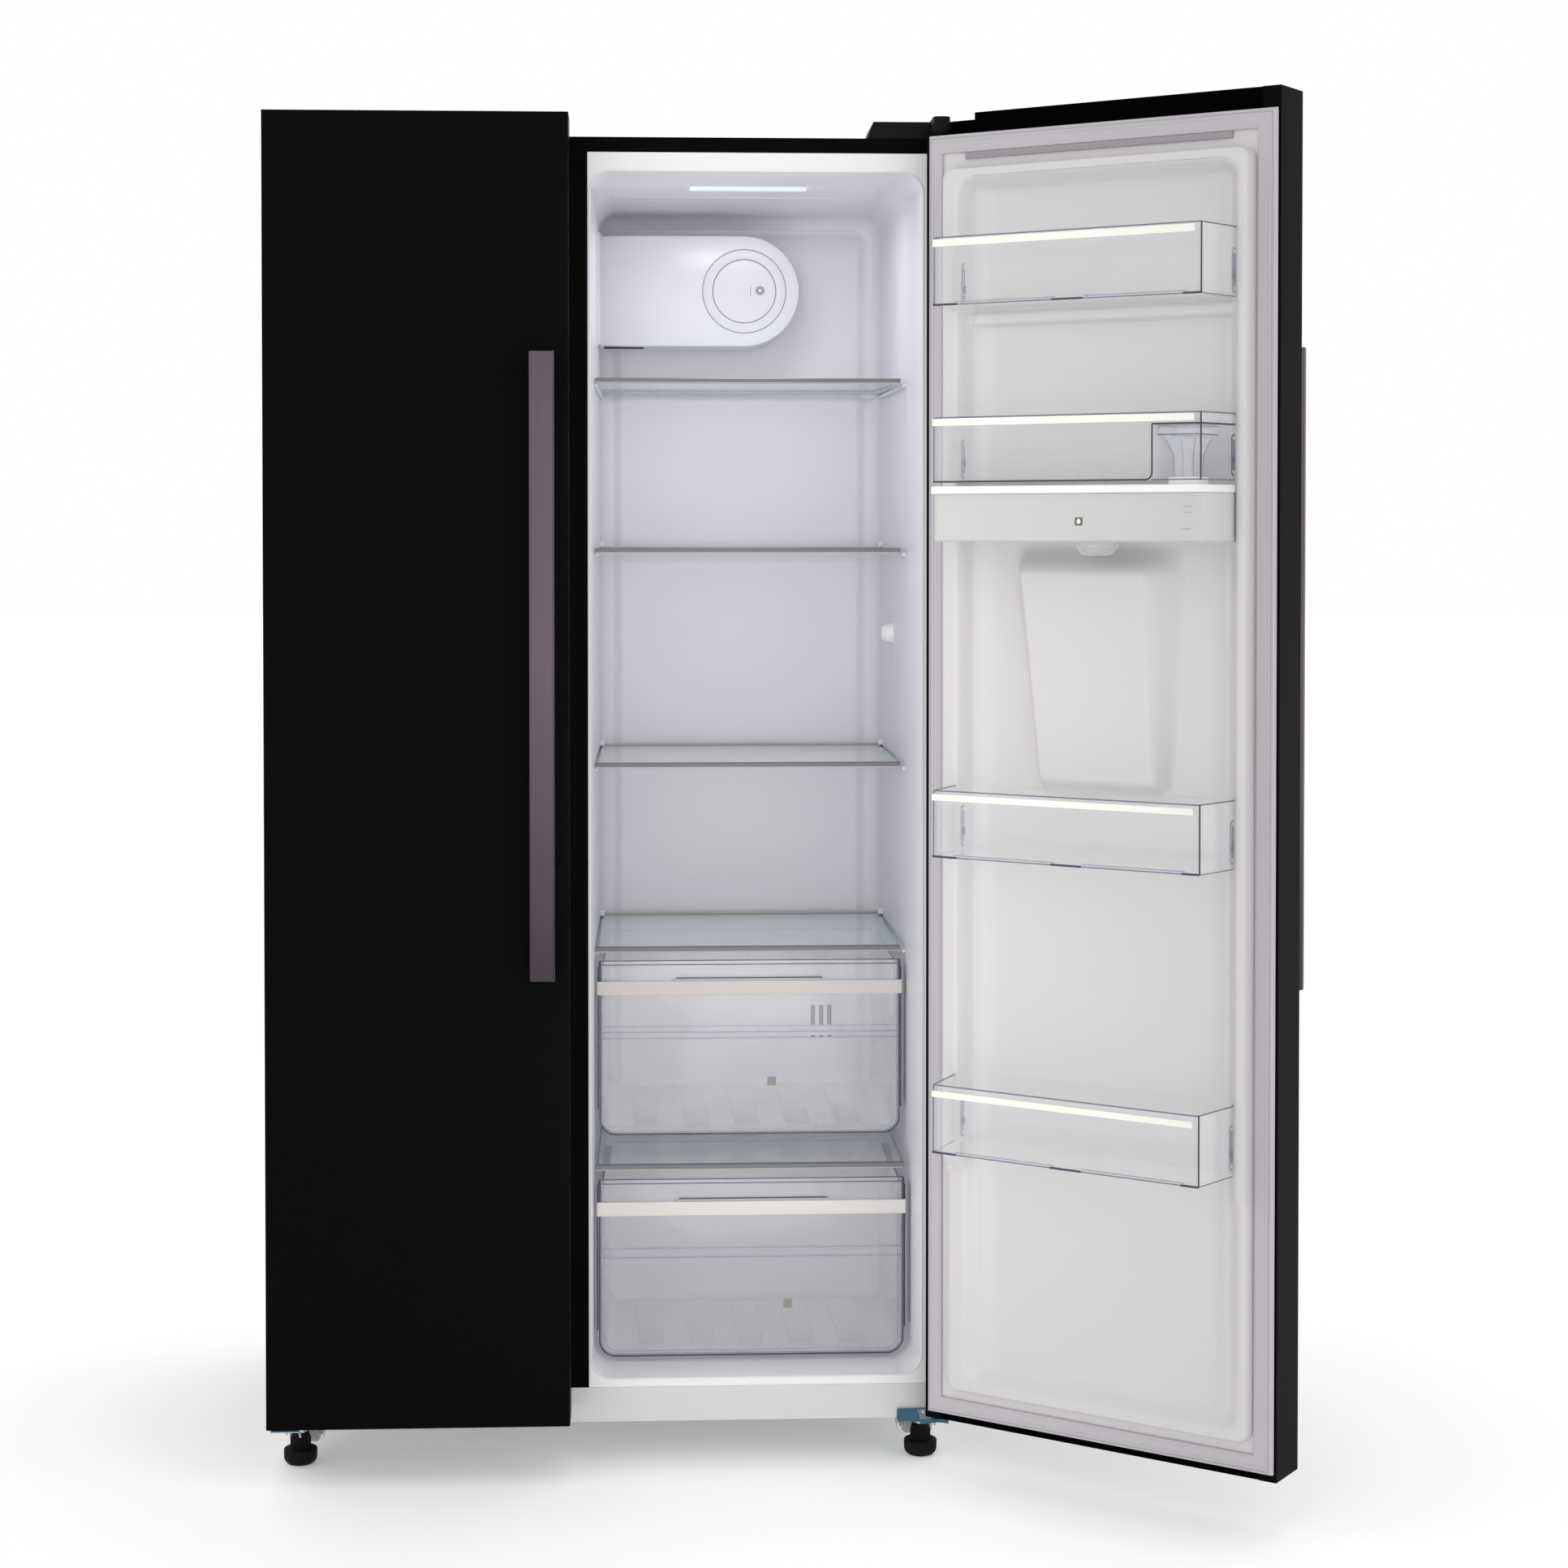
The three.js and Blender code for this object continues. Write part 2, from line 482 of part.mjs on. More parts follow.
function doorLiner(width) {
  const panel = box(6, width - 5, DOOR_THICK + GAP, LINER_FACE, 86, 1792);
  const ring = (inset, r) => roundedRect(38 + inset, width - 28 - inset, 125 + inset, 1746 - inset, r, 4);
  const rim = loft('y', [
    [LINER_FACE - 0.5, ring(0, 16)],
    [DIKE_TOP - 4, ring(2, 18)],
    [DIKE_TOP, ring(5, 18)]]);
  const recess = loft('y', [
    [LINER_FACE, roundedRect(69, width - 54.6, 158, 1716, 22, 4)],
    [DIKE_TOP - 4, roundedRect(60, width - 45.6, 146, 1726, 24, 4)],
    [DIKE_TOP + 1, roundedRect(56, width - 43.5, 142, 1729, 26, 4)],
  ]);
  return join(panel, cut(rim, recess));
}

function gasket(width) {
  const outer = roundedRect(SEAL.hinge, width - SEAL.free, SEAL.bottom, SEAL.top, 2, 1);
  const inner = roundedRect(SEAL.hingeInner, width - SEAL.freeInner, SEAL.innerBottom, SEAL.innerTop, 2, 1);
  return cut(prism('y', LINER_FACE + GAP, FRONT - 0.4, outer), prism('y', LINER_FACE, FRONT, inner));
}

const HANDLE = { inset: 17.5, width: 33.5, z0: 680, z1: 1502, front: -57, back: -44, mount: 40 };

function handle(width) {
  const { inset, width: w, z0, z1, front, back, mount } = HANDLE;
  const [x0, x1] = [width - inset - w, width - inset];
  const grip = prism('z', z0, z1, roundedRect(x0, x1, front, back, 2, 3));
  const mounts = [z0 + 2, z1 - 2 - mount].map((z) => box(x0 + 3, x1 - 3, back - 3, -GAP, z, z + mount));
  return join(grip, ...mounts);
}

// An open tray between the rims: it widens to the rim's top, then narrows to its front.
function trayOutline(width, front, inset) {
  const [a, b] = [72.5, width - 56.1];
  const seat = DOOR_THICK + 31;
  const r = 6 - Math.min(inset, 3);
  const corner = (cx, cy, start) => [0, 0.5, 1].map((t) => {
    const angle = start + t * (Math.PI / 2);
    return [cx + r * Math.cos(angle), cy + r * Math.sin(angle)];
  });
  return [
    [a + inset, LINER_FACE + 2.3 + inset],
    [b - inset, LINER_FACE + 2.3 + inset],
    [b + 9 - inset, seat],
    ...corner(b - 0.5 - inset - r, front - inset - r, 0),
    ...corner(a + 1.5 + inset + r, front - inset - r, Math.PI / 2),
    [a - 10 + inset, seat],
  ];
}

function tray(width, front, z0, z1, wall = 2.5) {
  return cut(
    prism('z', z0, z1, trayOutline(width, front, 0)),
    prism('z', z0 + wall, z1 + 1, trayOutline(width, front, wall)));
}

function door(parent, side, width, mirrored, openings = {}) {
  const put = (name, shape, look) => add(parent, `${side}_door_${name}`, shape, look, mirrored);
  put('skin', doorSkin(width, openings.skin ?? []), LOOKS.blackSteel);
  put('core', doorCore(width, openings.core ?? []), LOOKS.blackPlastic);
  put('liner', openings.liner ? openings.liner(doorLiner(width)) : doorLiner(width), LOOKS.doorLiner);
  put('gasket', gasket(width), LOOKS.gasket);
  put('handle', handle(width), LOOKS.bronze);
}

door(leftDoor, 'left', LEFT_DOOR_WIDTH, false);
[1400, 1000, 560].forEach((z, i) => {
  add(leftDoor, `freezer_door_bin_${i + 1}`, tray(LEFT_DOOR_WIDTH, 172, z, z + 90), LOOKS.clear);
});

const nicheTool = (from, to, inset) => prism('y', from, to, nicheOutline(inset));
door(rightDoorClosed, 'right', RIGHT_DOOR_WIDTH, true, {
  skin: [nicheTool(-2, 3, 7)],
  core: [nicheTool(-2, DOOR_THICK + 5, 6.5)],
  liner: (panel) => cut(
    join(panel, loft('y', [
      [LINER_FACE - 0.5, nicheOutline(0, 24)],
      [DIKE_TOP - 8, nicheOutline(6, 24)],
      [DIKE_TOP - 2, nicheOutline(14, 24)]])),
    loft('y', [[DOOR_THICK - 1, nicheOutline(6.5)], [DIKE_TOP - 9, nicheOutline(14)]])),
});

// ---------------------------------------------------------------- right door fittings
const BIN_FRONT = 180;
const BIN_HEIGHTS = [[1557, 1644], [1330, 1413], [847, 933], [464, 552]];
const FILLER = { x: 416, y: 144, left: 388, notchTop: 1399 };
const TANK = { bottom: 1254, top: 1314.7, lidTop: 1325 };

function binWithNotch(z0, z1) {
  const wall = 2.5;
  const full = tray(RIGHT_DOOR_WIDTH, BIN_FRONT, z0, z1);
  const end = cut(
    prism('z', z0, FILLER.notchTop + 1, trayOutline(RIGHT_DOOR_WIDTH, BIN_FRONT, 0)),
    box(0, FILLER.left - wall, 0, 300, z0 - 1, z1), box(FILLER.left, 600, 0, 300, z0 - 1, z1));
  return join(cut(full, box(FILLER.left, 600, 0, 300, z0 - 1, FILLER.notchTop)), end);
}

BIN_HEIGHTS.forEach(([z0, z1], i) => {
  const shape = i === 1 ? binWithNotch(z0, z1) : tray(RIGHT_DOOR_WIDTH, BIN_FRONT, z0, z1);
  add(rightDoorClosed, `door_bin_${i + 1}`, shape, LOOKS.clear, true);
});

function tankLid() {
  const plate = prism('z', TANK.top + GAP, TANK.lidTop, trayOutline(RIGHT_DOOR_WIDTH, BIN_FRONT + 6, -1));
  return cut(plate, bar('z', 12, TANK.top - 5, TANK.lidTop + 5, [FILLER.x, FILLER.y], 20));
}

// Funnel that fills the tank: a square hopper that narrows to a neck with a collar on the lid.
function tankFiller() {
  const { x, y } = FILLER;
  const square = (half, r) => roundedRect(x - half, x + half, y - half, y + half, r, 4);
  const [rim, neck, foot] = [FILLER.notchTop - 2, 1362, TANK.lidTop + GAP];
  const outside = loft('z', [
    [foot, square(17, 16.9)],
    [foot + 8, square(17, 16.9)],
    [foot + 8.5, square(14.5, 14.4)],
    [neck, square(14.5, 14.4)],
    [rim - 12, square(27, 4)],
    [rim, square(27, 4)]]);
  const inside = loft('z', [
    [foot - 1, square(12, 11.9)],
    [neck, square(12, 11.9)],
    [rim - 11, square(25, 3)],
    [rim + 1, square(25, 3)]]);
  return cut(outside, inside);
}

add(rightDoorClosed, 'water_tank',
  tray(RIGHT_DOOR_WIDTH, BIN_FRONT + 2, TANK.bottom, TANK.top, 2.5), LOOKS.tank, true);
add(rightDoorClosed, 'water_tank_lid', tankLid(), LOOKS.whitePlastic, true);
add(rightDoorClosed, 'water_tank_filler', tankFiller(), LOOKS.clear, true);

// Dispenser on the door's outside: a bezel with a niche, a push lever and a lift-out drip tray.
const NICHE_BACK = DIKE_TOP - 10;

function dispenserHousing() {
  const bezel = prism('y', -4, -GAP, roundedRect(NICHE.centre - 126, NICHE.centre + 126, 920, 1330, 14, 4));
  const shell = loft('y', [
    [-1, nicheOutline(7.6)],
    [DOOR_THICK - 1, nicheOutline(7.8)],
    [NICHE_BACK, nicheOutline(15)]]);
  const hollow = loft('y', [
    [-5, nicheOutline(10)],
    [DOOR_THICK - 1, nicheOutline(10.5)],
    [NICHE_BACK - 2.5, nicheOutline(18)]]);
  const spout = bar('z', 9, 1205, NICHE.top - 8, [NICHE.centre, 45], 16);
  return join(cut(join(bezel, shell), hollow), spout);
}

const PADDLE = { axisY: 66, axisZ: 1192 };

function dispenserPaddle() {
  const { centre } = NICHE;
  const blade = prism('y', 58, 61, roundedRect(centre - 24, centre + 24, 1030, 1186, 8, 3));
  const root = box(centre - 18, centre + 18, 58, PADDLE.axisY, 1180, 1190);
  return join(blade, root, bar('x', 4, centre - 22, centre + 22, [PADDLE.axisY, PADDLE.axisZ], 12));
}

function dripTray() {
  const { centre } = NICHE;
  const [z0, z1] = [NICHE.bottom + 13.5, NICHE.bottom + 25];
  return cut(
    prism('z', z0, z1, roundedRect(centre - 50, centre + 50, 6, 74, 5, 2)),
    prism('z', z0 + 2, z1 + 1, roundedRect(centre - 48, centre + 48, 8, 72, 4, 2)));
}

add(rightDoorClosed, 'dispenser_housing', dispenserHousing(), LOOKS.blackPlastic, true);
add(rightDoorClosed, 'dispenser_paddle', dispenserPaddle(), LOOKS.greyPlastic, true);
add(rightDoorClosed, 'drip_tray', dripTray(), LOOKS.blackPlastic, true);

// ---------------------------------------------------------------- origin: bottom centre of the whole
refrigerator.updateMatrixWorld(true);
const bounds = new THREE.Box3().setFromObject(refrigerator, true);
const centre = bounds.getCenter(new THREE.Vector3());
refrigerator.position.set(-centre.x, -centre.y, -bounds.min.z);

export default refrigerator;
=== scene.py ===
"""Looks of the side by side refrigerator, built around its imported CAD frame."""
import json
import math

import bmesh
import bpy
import numpy as np
from mathutils import Matrix, Vector


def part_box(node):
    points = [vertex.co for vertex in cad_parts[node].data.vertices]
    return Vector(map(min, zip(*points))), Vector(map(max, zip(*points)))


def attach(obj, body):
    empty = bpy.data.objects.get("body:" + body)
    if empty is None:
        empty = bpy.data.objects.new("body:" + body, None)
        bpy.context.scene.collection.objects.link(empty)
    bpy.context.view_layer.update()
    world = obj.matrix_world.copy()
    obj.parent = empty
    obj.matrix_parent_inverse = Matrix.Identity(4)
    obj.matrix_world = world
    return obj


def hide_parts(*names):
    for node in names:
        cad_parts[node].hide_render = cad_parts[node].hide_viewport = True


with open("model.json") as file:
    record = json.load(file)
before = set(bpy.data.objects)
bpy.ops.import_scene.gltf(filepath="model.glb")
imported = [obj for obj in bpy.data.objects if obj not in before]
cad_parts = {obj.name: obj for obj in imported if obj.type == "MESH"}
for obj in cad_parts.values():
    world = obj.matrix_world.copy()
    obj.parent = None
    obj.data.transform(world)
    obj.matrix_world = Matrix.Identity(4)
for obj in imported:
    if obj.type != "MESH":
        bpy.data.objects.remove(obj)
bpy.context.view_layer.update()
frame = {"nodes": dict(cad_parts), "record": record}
NODES = frame["nodes"]

# ------------------------------------------------------------------ frame of reference
# Pieces are laid out in cabinet millimetres: X from the left side, Y from the closed door fronts
# to the back, Z up from the floor. Right door pieces are laid out with the door closed and u
# counted from its hinge end.
case_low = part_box("outer_case")[0]
ORIGIN = Vector((case_low.x, case_low.y - 0.080, 0.0))
CAB = Matrix.Translation(ORIGIN) @ Matrix.Scale(0.001, 4)
WIDTH = 910
DOOR_ANGLE = math.radians(144.3)
HINGE = Vector((900.7, 40.6, 0.0))
RIGHT = (CAB @ Matrix.Translation(HINGE) @ Matrix.Rotation(DOOR_ANGLE, 4, "Z")
         @ Matrix.Translation(-HINGE) @ Matrix.Translation((WIDTH, 0, 0)) @ Matrix.Scale(-1, 4,
             (1, 0, 0)))
LEFT = CAB

# ------------------------------------------------------------------ materials


class Nodes:
    """A small helper that wires one material's node tree."""

    def __init__(self, name):
        self.mat = bpy.data.materials.new(name)
        self.mat.use_nodes = True
        self.tree = self.mat.node_tree
        self.tree.nodes.clear()
        self.out = self.tree.nodes.new("ShaderNodeOutputMaterial")
        self.coords = self.tree.nodes.new("ShaderNodeTexCoord")

    def node(self, kind, inputs=None, **settings):
        n = self.tree.nodes.new(kind)
        for key, value in settings.items():
            setattr(n, key, value)
        for key, value in (inputs or {}).items():
            if isinstance(value, bpy.types.NodeSocket):
                self.tree.links.new(value, n.inputs[key])
            else:
                n.inputs[key].default_value = value
        return n

    def place(self, scale=(1, 1, 1)):
        return self.node("ShaderNodeMapping", {"Vector": self.coords.outputs["Object"],
            "Scale": scale}).outputs[0]

    def noise(self, scale, detail=2, stretch=(1, 1, 1), roughness=0.5):
        return self.node("ShaderNodeTexNoise", {
            "Vector": self.place(stretch), "Scale": scale, "Detail": detail,
                "Roughness": roughness}).outputs[0]

    def ramp(self, fac, low, high):
        r = self.node("ShaderNodeMapRange", {"Value": fac, "To Min": low, "To Max": high})
        return r.outputs[0]

    def tint(self, fac, a, b):
        m = self.node("ShaderNodeMix", data_type="RGBA")
        self.tree.links.new(fac, m.inputs["Factor"])
        m.inputs["A"].default_value = m.inputs[6].default_value = (*a, 1)
        m.inputs[7].default_value = (*b, 1)
        return m.outputs[2]

    def bump(self, height, distance, strength=1.0):
        return self.node("ShaderNodeBump", {"Height": height, "Distance": distance,
            "Strength": strength}).outputs[0]

    def finish(self, shader):
        self.tree.links.new(shader, self.out.inputs["Surface"])
        return self.mat


def srgb(r, g, b):
    """A colour given as 0 to 255 values, as the linear light a shader takes."""
    return tuple(((c / 255 + 0.055) / 1.055) ** 2.4 if c > 10 else c / 255 / 12.92 for c in (r, g, b))


def scaled(c, k):
    """The same colour, brighter or darker, kept within 1."""
    return tuple(min(1.0, x * k) for x in c)


def moulded(name, color, rough=0.35, spread=0.04, grain=(900, 0.00002), specular=0.5, vary=0.05,
    metallic=0.0,
            stretch=(1, 1, 1), patch=4, light=0.0, ior=1.5):
    """Moulded plastic or painted steel: faint mottling, uneven gloss and a fine surface grain."""
    n = Nodes(name)
    broad = n.noise(patch, 3)
    fine = n.noise(grain[0], 2, stretch)
    s = n.node("ShaderNodeBsdfPrincipled", {
        "Base Color": n.tint(broad, scaled(color, 1 - vary), scaled(color, 1 + vary)),
        "Roughness": n.ramp(broad, rough - spread, rough + spread),
        "Metallic": metallic,
        "Normal": n.bump(fine, grain[1]),
    })
    s.inputs["Specular IOR Level"].default_value = specular
    s.inputs["IOR"].default_value = ior
    s.inputs["Emission Color"].default_value = (1, 1, 1, 1)
    s.inputs["Emission Strength"].default_value = light
    return n.finish(s.outputs[0])


def brushed(name, color, rough=0.3, direction="Z", strength=0.00003, scale=1800, vary=0.18, metallic=1.0,
    low=None):
    """Metal with a drawn grain along one direction; low paints shade on it, darker towards the bottom."""
    n = Nodes(name)
    stretch = [1, 1, 1]
    stretch["XYZ".index(direction)] = 0.008
    grain = n.noise(scale, 4, tuple(stretch), 0.7)
    color_out = n.tint(grain, scaled(color, 1 - vary), scaled(color, 1 + vary))
    # painted shade: the colour is multiplied darker the lower the surface sits
    if low:
        height = n.node("ShaderNodeSeparateXYZ", {"Vector": n.coords.outputs["Object"]}).outputs[2]
        shade_ramp = n.node("ShaderNodeMapRange", {"Value": height, "From Min": low[1],
            "From Max": low[2]}).outputs[0]
        m = n.node("ShaderNodeMix", data_type="RGBA", blend_type="MULTIPLY")
        m.inputs[0].default_value = 1.0
        n.tree.links.new(color_out, m.inputs[6])
        n.tree.links.new(n.tint(shade_ramp, low[0], (1, 1, 1)), m.inputs[7])
        color_out = m.outputs[2]
    s = n.node("ShaderNodeBsdfPrincipled", {
        "Base Color": color_out, "Metallic": metallic,
        "Roughness": n.ramp(grain, rough - 0.06, rough + 0.08), "Normal": n.bump(grain, strength)})
    return n.finish(s.outputs[0])


def clear(name, tint=(0.985, 0.988, 0.995), haze=(0.80, 0.81, 0.86), thin=0.03, edge=0.4, rough=0.06,
    power=2.0, ripple=0.00006):
    """A thin clear wall: see-through face on, denser and glossier where it turns away."""
    n = Nodes(name)
    wave = n.noise(9, 2)
    bump = n.bump(wave, ripple)
    body = n.node("ShaderNodeBsdfPrincipled", {
        "Base Color": n.tint(wave, scaled(haze, 0.95), haze), "Roughness": n.ramp(wave, rough + 0.1,
            rough + 0.15), "Normal": bump})
    body.inputs["Specular IOR Level"].default_value = 0.2
    through = n.node("ShaderNodeBsdfTransparent", {"Color": (*tint, 1)})
    facing = n.node("ShaderNodeLayerWeight", {"Blend": 0.5}).outputs["Facing"]
    steep = n.node("ShaderNodeMath", {0: facing, 1: power}, operation="POWER").outputs[0]
    mix = n.node("ShaderNodeMixShader", {0: n.ramp(steep, thin, edge), 1: through.outputs[0],
        2: body.outputs[0]})
    shine = n.node("ShaderNodeBsdfGlossy", {"Color": (1, 1, 1, 1), "Roughness": n.ramp(wave, rough,
        rough + 0.04), "Normal": bump})
    glance = n.node("ShaderNodeMath", {0: facing, 1: 5.0}, operation="POWER").outputs[0]
    top = n.node("ShaderNodeMixShader", {0: n.ramp(glance, 0.035, 0.8), 1: mix.outputs[0],
        2: shine.outputs[0]})
    return n.finish(top.outputs[0])


def glow(name, color, strength):
    """A lit, frosted lens."""
    n = Nodes(name)
    frost = n.noise(300, 2)
    s = n.node("ShaderNodeBsdfPrincipled", {"Base Color": n.tint(frost, scaled(color, 0.97), color),
        "Roughness": 0.4})
    s.inputs["Emission Color"].default_value = (*color, 1)
    s.inputs["Emission Strength"].default_value = strength
    return n.finish(s.outputs[0])


MATS = {
    "end_cap": moulded("end_cap", srgb(3, 3, 4), 0.6, grain=(1800, 0.00004), specular=0.3, vary=0.12,
        ior=1.05),
    "clear_edge": clear("clear_edge", tint=(0.62, 0.66, 0.76), haze=(0.20, 0.22, 0.30), thin=0.45,
        edge=0.85, rough=0.2),
    "glass_edge": moulded("glass_edge", srgb(48, 138, 134), 0.15, grain=(300, 0.00002), vary=0.2,
        patch=30),
    "shelf_trim": moulded("shelf_trim", srgb(112, 113, 118), 0.35, vary=0.04),
    "shelf_trim_light": moulded("shelf_trim_light", srgb(176, 172, 168), 0.35, vary=0.03),
    "bin_trim": moulded("bin_trim", srgb(238, 237, 228), 0.4, vary=0.015),
    # the two crisper trims are one plastic in two tones; the lower crisper's lighter trim is painted light
    "crisper_trim": moulded("crisper_trim", srgb(204, 197, 192), 0.42, vary=0.02),
    "crisper_trim_low": moulded("crisper_trim_low", srgb(219, 215, 209), 0.42, vary=0.015),
    # dark_slot is also used as painted shade: the slit under the duct cover and the vent openings in the back
    # wall
    "dark_slot": moulded("dark_slot", srgb(40, 36, 44), 0.7, vary=0.1),
    "lamp": glow("lamp_lens", (0.84, 0.94, 1.0), 0.35),
    # a darker copy of the gasket grey, used as painted shade: under the right gasket's top run and in the air
    # duct dial's grooves
    "gasket_dark": moulded("gasket_dark", srgb(150, 145, 152), 0.55, vary=0.04),
    "film": clear("blue_film", tint=(0.18, 0.45, 0.62), haze=(0.008, 0.11, 0.2), thin=0.72, edge=0.95,
        rough=0.12),
    "pictogram": moulded("pictogram", srgb(140, 142, 128), 0.5, vary=0.03),
    "pictogram_dark": moulded("pictogram_dark", srgb(96, 90, 84), 0.5, vary=0.03),
    "floor_paper": moulded("floor_paper", (0.93, 0.93, 0.93), 0.9, grain=(60, 0.0001), specular=0.1,
        vary=0.01, light=0.22),
    "panel_gloss": moulded("panel_gloss", srgb(10, 10, 12), 0.08, grain=(300, 0.000002), specular=0.5,
        vary=0.1),
    "panel_mark": moulded("panel_mark", srgb(205, 206, 210), 0.4, vary=0.03),
    "grey_foam": moulded("grey_foam", srgb(196, 190, 186), 0.8, grain=(700, 0.0003), vary=0.06),
    "screw": brushed("screw", srgb(196, 200, 205), 0.28, "X", vary=0.08),
    "case_steel": moulded("black_case", srgb(9, 9, 10), 0.4, grain=(1400, 0.00002), specular=0.5, patch=2,
        vary=0.1, ior=1.06),
    "door_steel": moulded("black_door", srgb(11, 11, 12), 0.34, grain=(1600, 0.00001), specular=0.5,
        patch=1.2, vary=0.1, ior=1.07),
    "insulation_foam": moulded("foam", srgb(226, 204, 150), 0.95, grain=(260, 0.0008), specular=0.2,
        vary=0.15, patch=40),
    "liner_plastic": moulded("liner", srgb(229, 226, 232), 0.3, grain=(500, 0.000004), vary=0.012,
        patch=3),
    "door_liner_plastic": moulded("door_liner", srgb(206, 203, 204), 0.3, grain=(500, 0.00001),
        vary=0.012, patch=3),
    "grey_plastic": moulded("grey_plastic", srgb(208, 207, 205), 0.45, vary=0.02),
    "black_plastic": moulded("black_plastic", srgb(10, 10, 11), 0.5, grain=(2200, 0.00006), specular=0.12,
        vary=0.15),
    "white_plastic": moulded("white_plastic", srgb(236, 236, 237), 0.35, vary=0.015),
    "clear_plastic": clear("clear_plastic", tint=(0.992, 0.994, 0.996), haze=(0.84, 0.855, 0.87)),
    "crisper_plastic": clear("crisper_plastic", tint=(0.996, 0.996, 0.998), haze=(0.92, 0.92, 0.95),
        thin=0.05, edge=0.4, ripple=0.00001),
    "crisper_edge": clear("crisper_edge", tint=(0.45, 0.48, 0.58), haze=(0.05, 0.06, 0.10), thin=0.8,
        edge=0.9, rough=0.15),
    "crisper_line": clear("crisper_line", tint=(0.85, 0.87, 0.93), haze=(0.36, 0.40, 0.50), thin=0.4,
        edge=0.7, rough=0.15),
    "crisper_cap": moulded("crisper_cap", srgb(48, 53, 66), 0.3, vary=0.15),
    "crisper_grip": clear("crisper_grip", tint=(0.9, 0.9, 0.93), haze=(0.55, 0.55, 0.60), thin=0.35,
        edge=0.7, rough=0.15),
    "crisper_pad": clear("crisper_pad", tint=(0.99, 0.99, 1.0), haze=(0.9, 0.9, 0.94), thin=0.02,
        edge=0.15, rough=0.1),
    "clear_edge_light": clear("clear_edge_light", tint=(0.92, 0.94, 0.96), haze=(0.6, 0.63, 0.68),
        thin=0.2, edge=0.7, rough=0.15),
    "liner_rim": moulded("liner_rim", srgb(232, 230, 232), 0.3, grain=(500, 0.00001), vary=0.01),
    "duct_plastic": moulded("duct_plastic", srgb(221, 219, 223), 0.25, grain=(500, 0.00001), vary=0.01),
    "duct_dial": moulded("duct_dial", srgb(217, 215, 220), 0.3, grain=(500, 0.00001), vary=0.01),
    "filler_plastic": clear("filler_plastic", haze=(0.80, 0.80, 0.85), thin=0.05, edge=0.5, rough=0.04),
    "nozzle_plastic": clear("nozzle_plastic", haze=(0.85, 0.86, 0.87), thin=0.25, edge=0.7, rough=0.05),
    "tank_plastic": clear("tank_plastic", tint=(0.97, 0.98, 0.97), haze=(0.76, 0.765, 0.75), thin=0.6,
        edge=0.8, rough=0.25),
    "shelf_glass": clear("shelf_glass", tint=(0.985, 0.996, 0.994), haze=(0.66, 0.82, 0.84), thin=0.02,
        edge=0.5, ripple=0.00002),
    "gasket_vinyl": moulded("gasket", srgb(184, 179, 185), 0.6, grain=(700, 0.00008), vary=0.04),
    "zinc_steel": brushed("zinc", srgb(158, 178, 188), 0.3, "X", vary=0.1),
    "galvanised_steel": moulded("galvanised", srgb(168, 172, 175), 0.45, grain=(400, 0.0001),
        metallic=0.9, vary=0.22, patch=30),
    "compressor_steel": moulded("compressor_paint", srgb(16, 16, 17), 0.4, grain=(900, 0.00006),
        vary=0.15),
    "aluminium": brushed("aluminium", srgb(190, 192, 195), 0.35, "X"),
    # the handle bar's colour carries painted shade, darker towards its lower end
    "handle_bronze": brushed("handle_bronze", srgb(99, 88, 95), 0.34, "Z", low=(srgb(150, 146, 150), 0.55,
        1.1)),
    "roller_nylon": moulded("roller_nylon", srgb(178, 172, 160), 0.5, vary=0.06),
    "foot_rubber": moulded("foot_rubber", srgb(12, 12, 12), 0.7, grain=(1500, 0.0001), vary=0.2,
        ior=1.25),
}
SLOT_OF = {s["node"]: s["material_slot"] for s in frame["record"]["subparts"]}
for name, piece in NODES.items():
    slot = "end_cap" if name.endswith("door_core") else SLOT_OF[name]
    piece.data.materials.clear()
    piece.data.materials.append(MATS[slot])


# ------------------------------------------------------------------ shapes, as (vertices, faces) in mm
def loft(rings, cap=True, loop=False):
    """Joins outlines of equal counts into a skin."""
    n = len(rings[0])
    verts = [p for r in rings for p in r]
    faces = []
    for i in range(len(rings) if loop else len(rings) - 1):
        a, b = i * n, (i + 1) % len(rings) * n
        faces += [(a + j, a + (j + 1) % n, b + (j + 1) % n, b + j) for j in range(n)]
    if cap and not loop:
        faces += [tuple(range(n)), tuple(range((len(rings) - 1) * n, len(rings) * n))]
    return verts, faces


def ring(axis, outline, h):
    place = {"x": lambda s, t: (h, s, t), "y": lambda s, t: (s, h, t), "z": lambda s, t: (s, t, h)}[axis]
    return [place(s, t) for s, t in outline]


def prism(axis, outline, a, b):
    """An outline carried straight from a to b."""
    return loft([ring(axis, outline, a), ring(axis, outline, b)])


def box(x0, x1, y0, y1, z0, z1):
    return prism("z", [(x0, y0), (x1, y0), (x1, y1), (x0, y1)], z0, z1)


def rounded(x0, x1, y0, y1, r, steps=6):
    """Rounded rectangle; r is one radius or four, from the low corner anticlockwise."""
    rs = [r] * 4 if isinstance(r, (int, float)) else r
    corners = [(x0, y0, 1, 1, math.pi), (x1, y0, -1, 1, 1.5 * math.pi), (x1, y1, -1, -1, 0),
        (x0, y1, 1, -1, 0.5 * math.pi)]
    out = []
    for (x, y, sx, sy, start), q in zip(corners, rs):
        for i in range(steps + 1):
            a = start + i / steps * math.pi / 2
            out.append((x + sx * q + q * math.cos(a), y + sy * q + q * math.sin(a)))
    return out


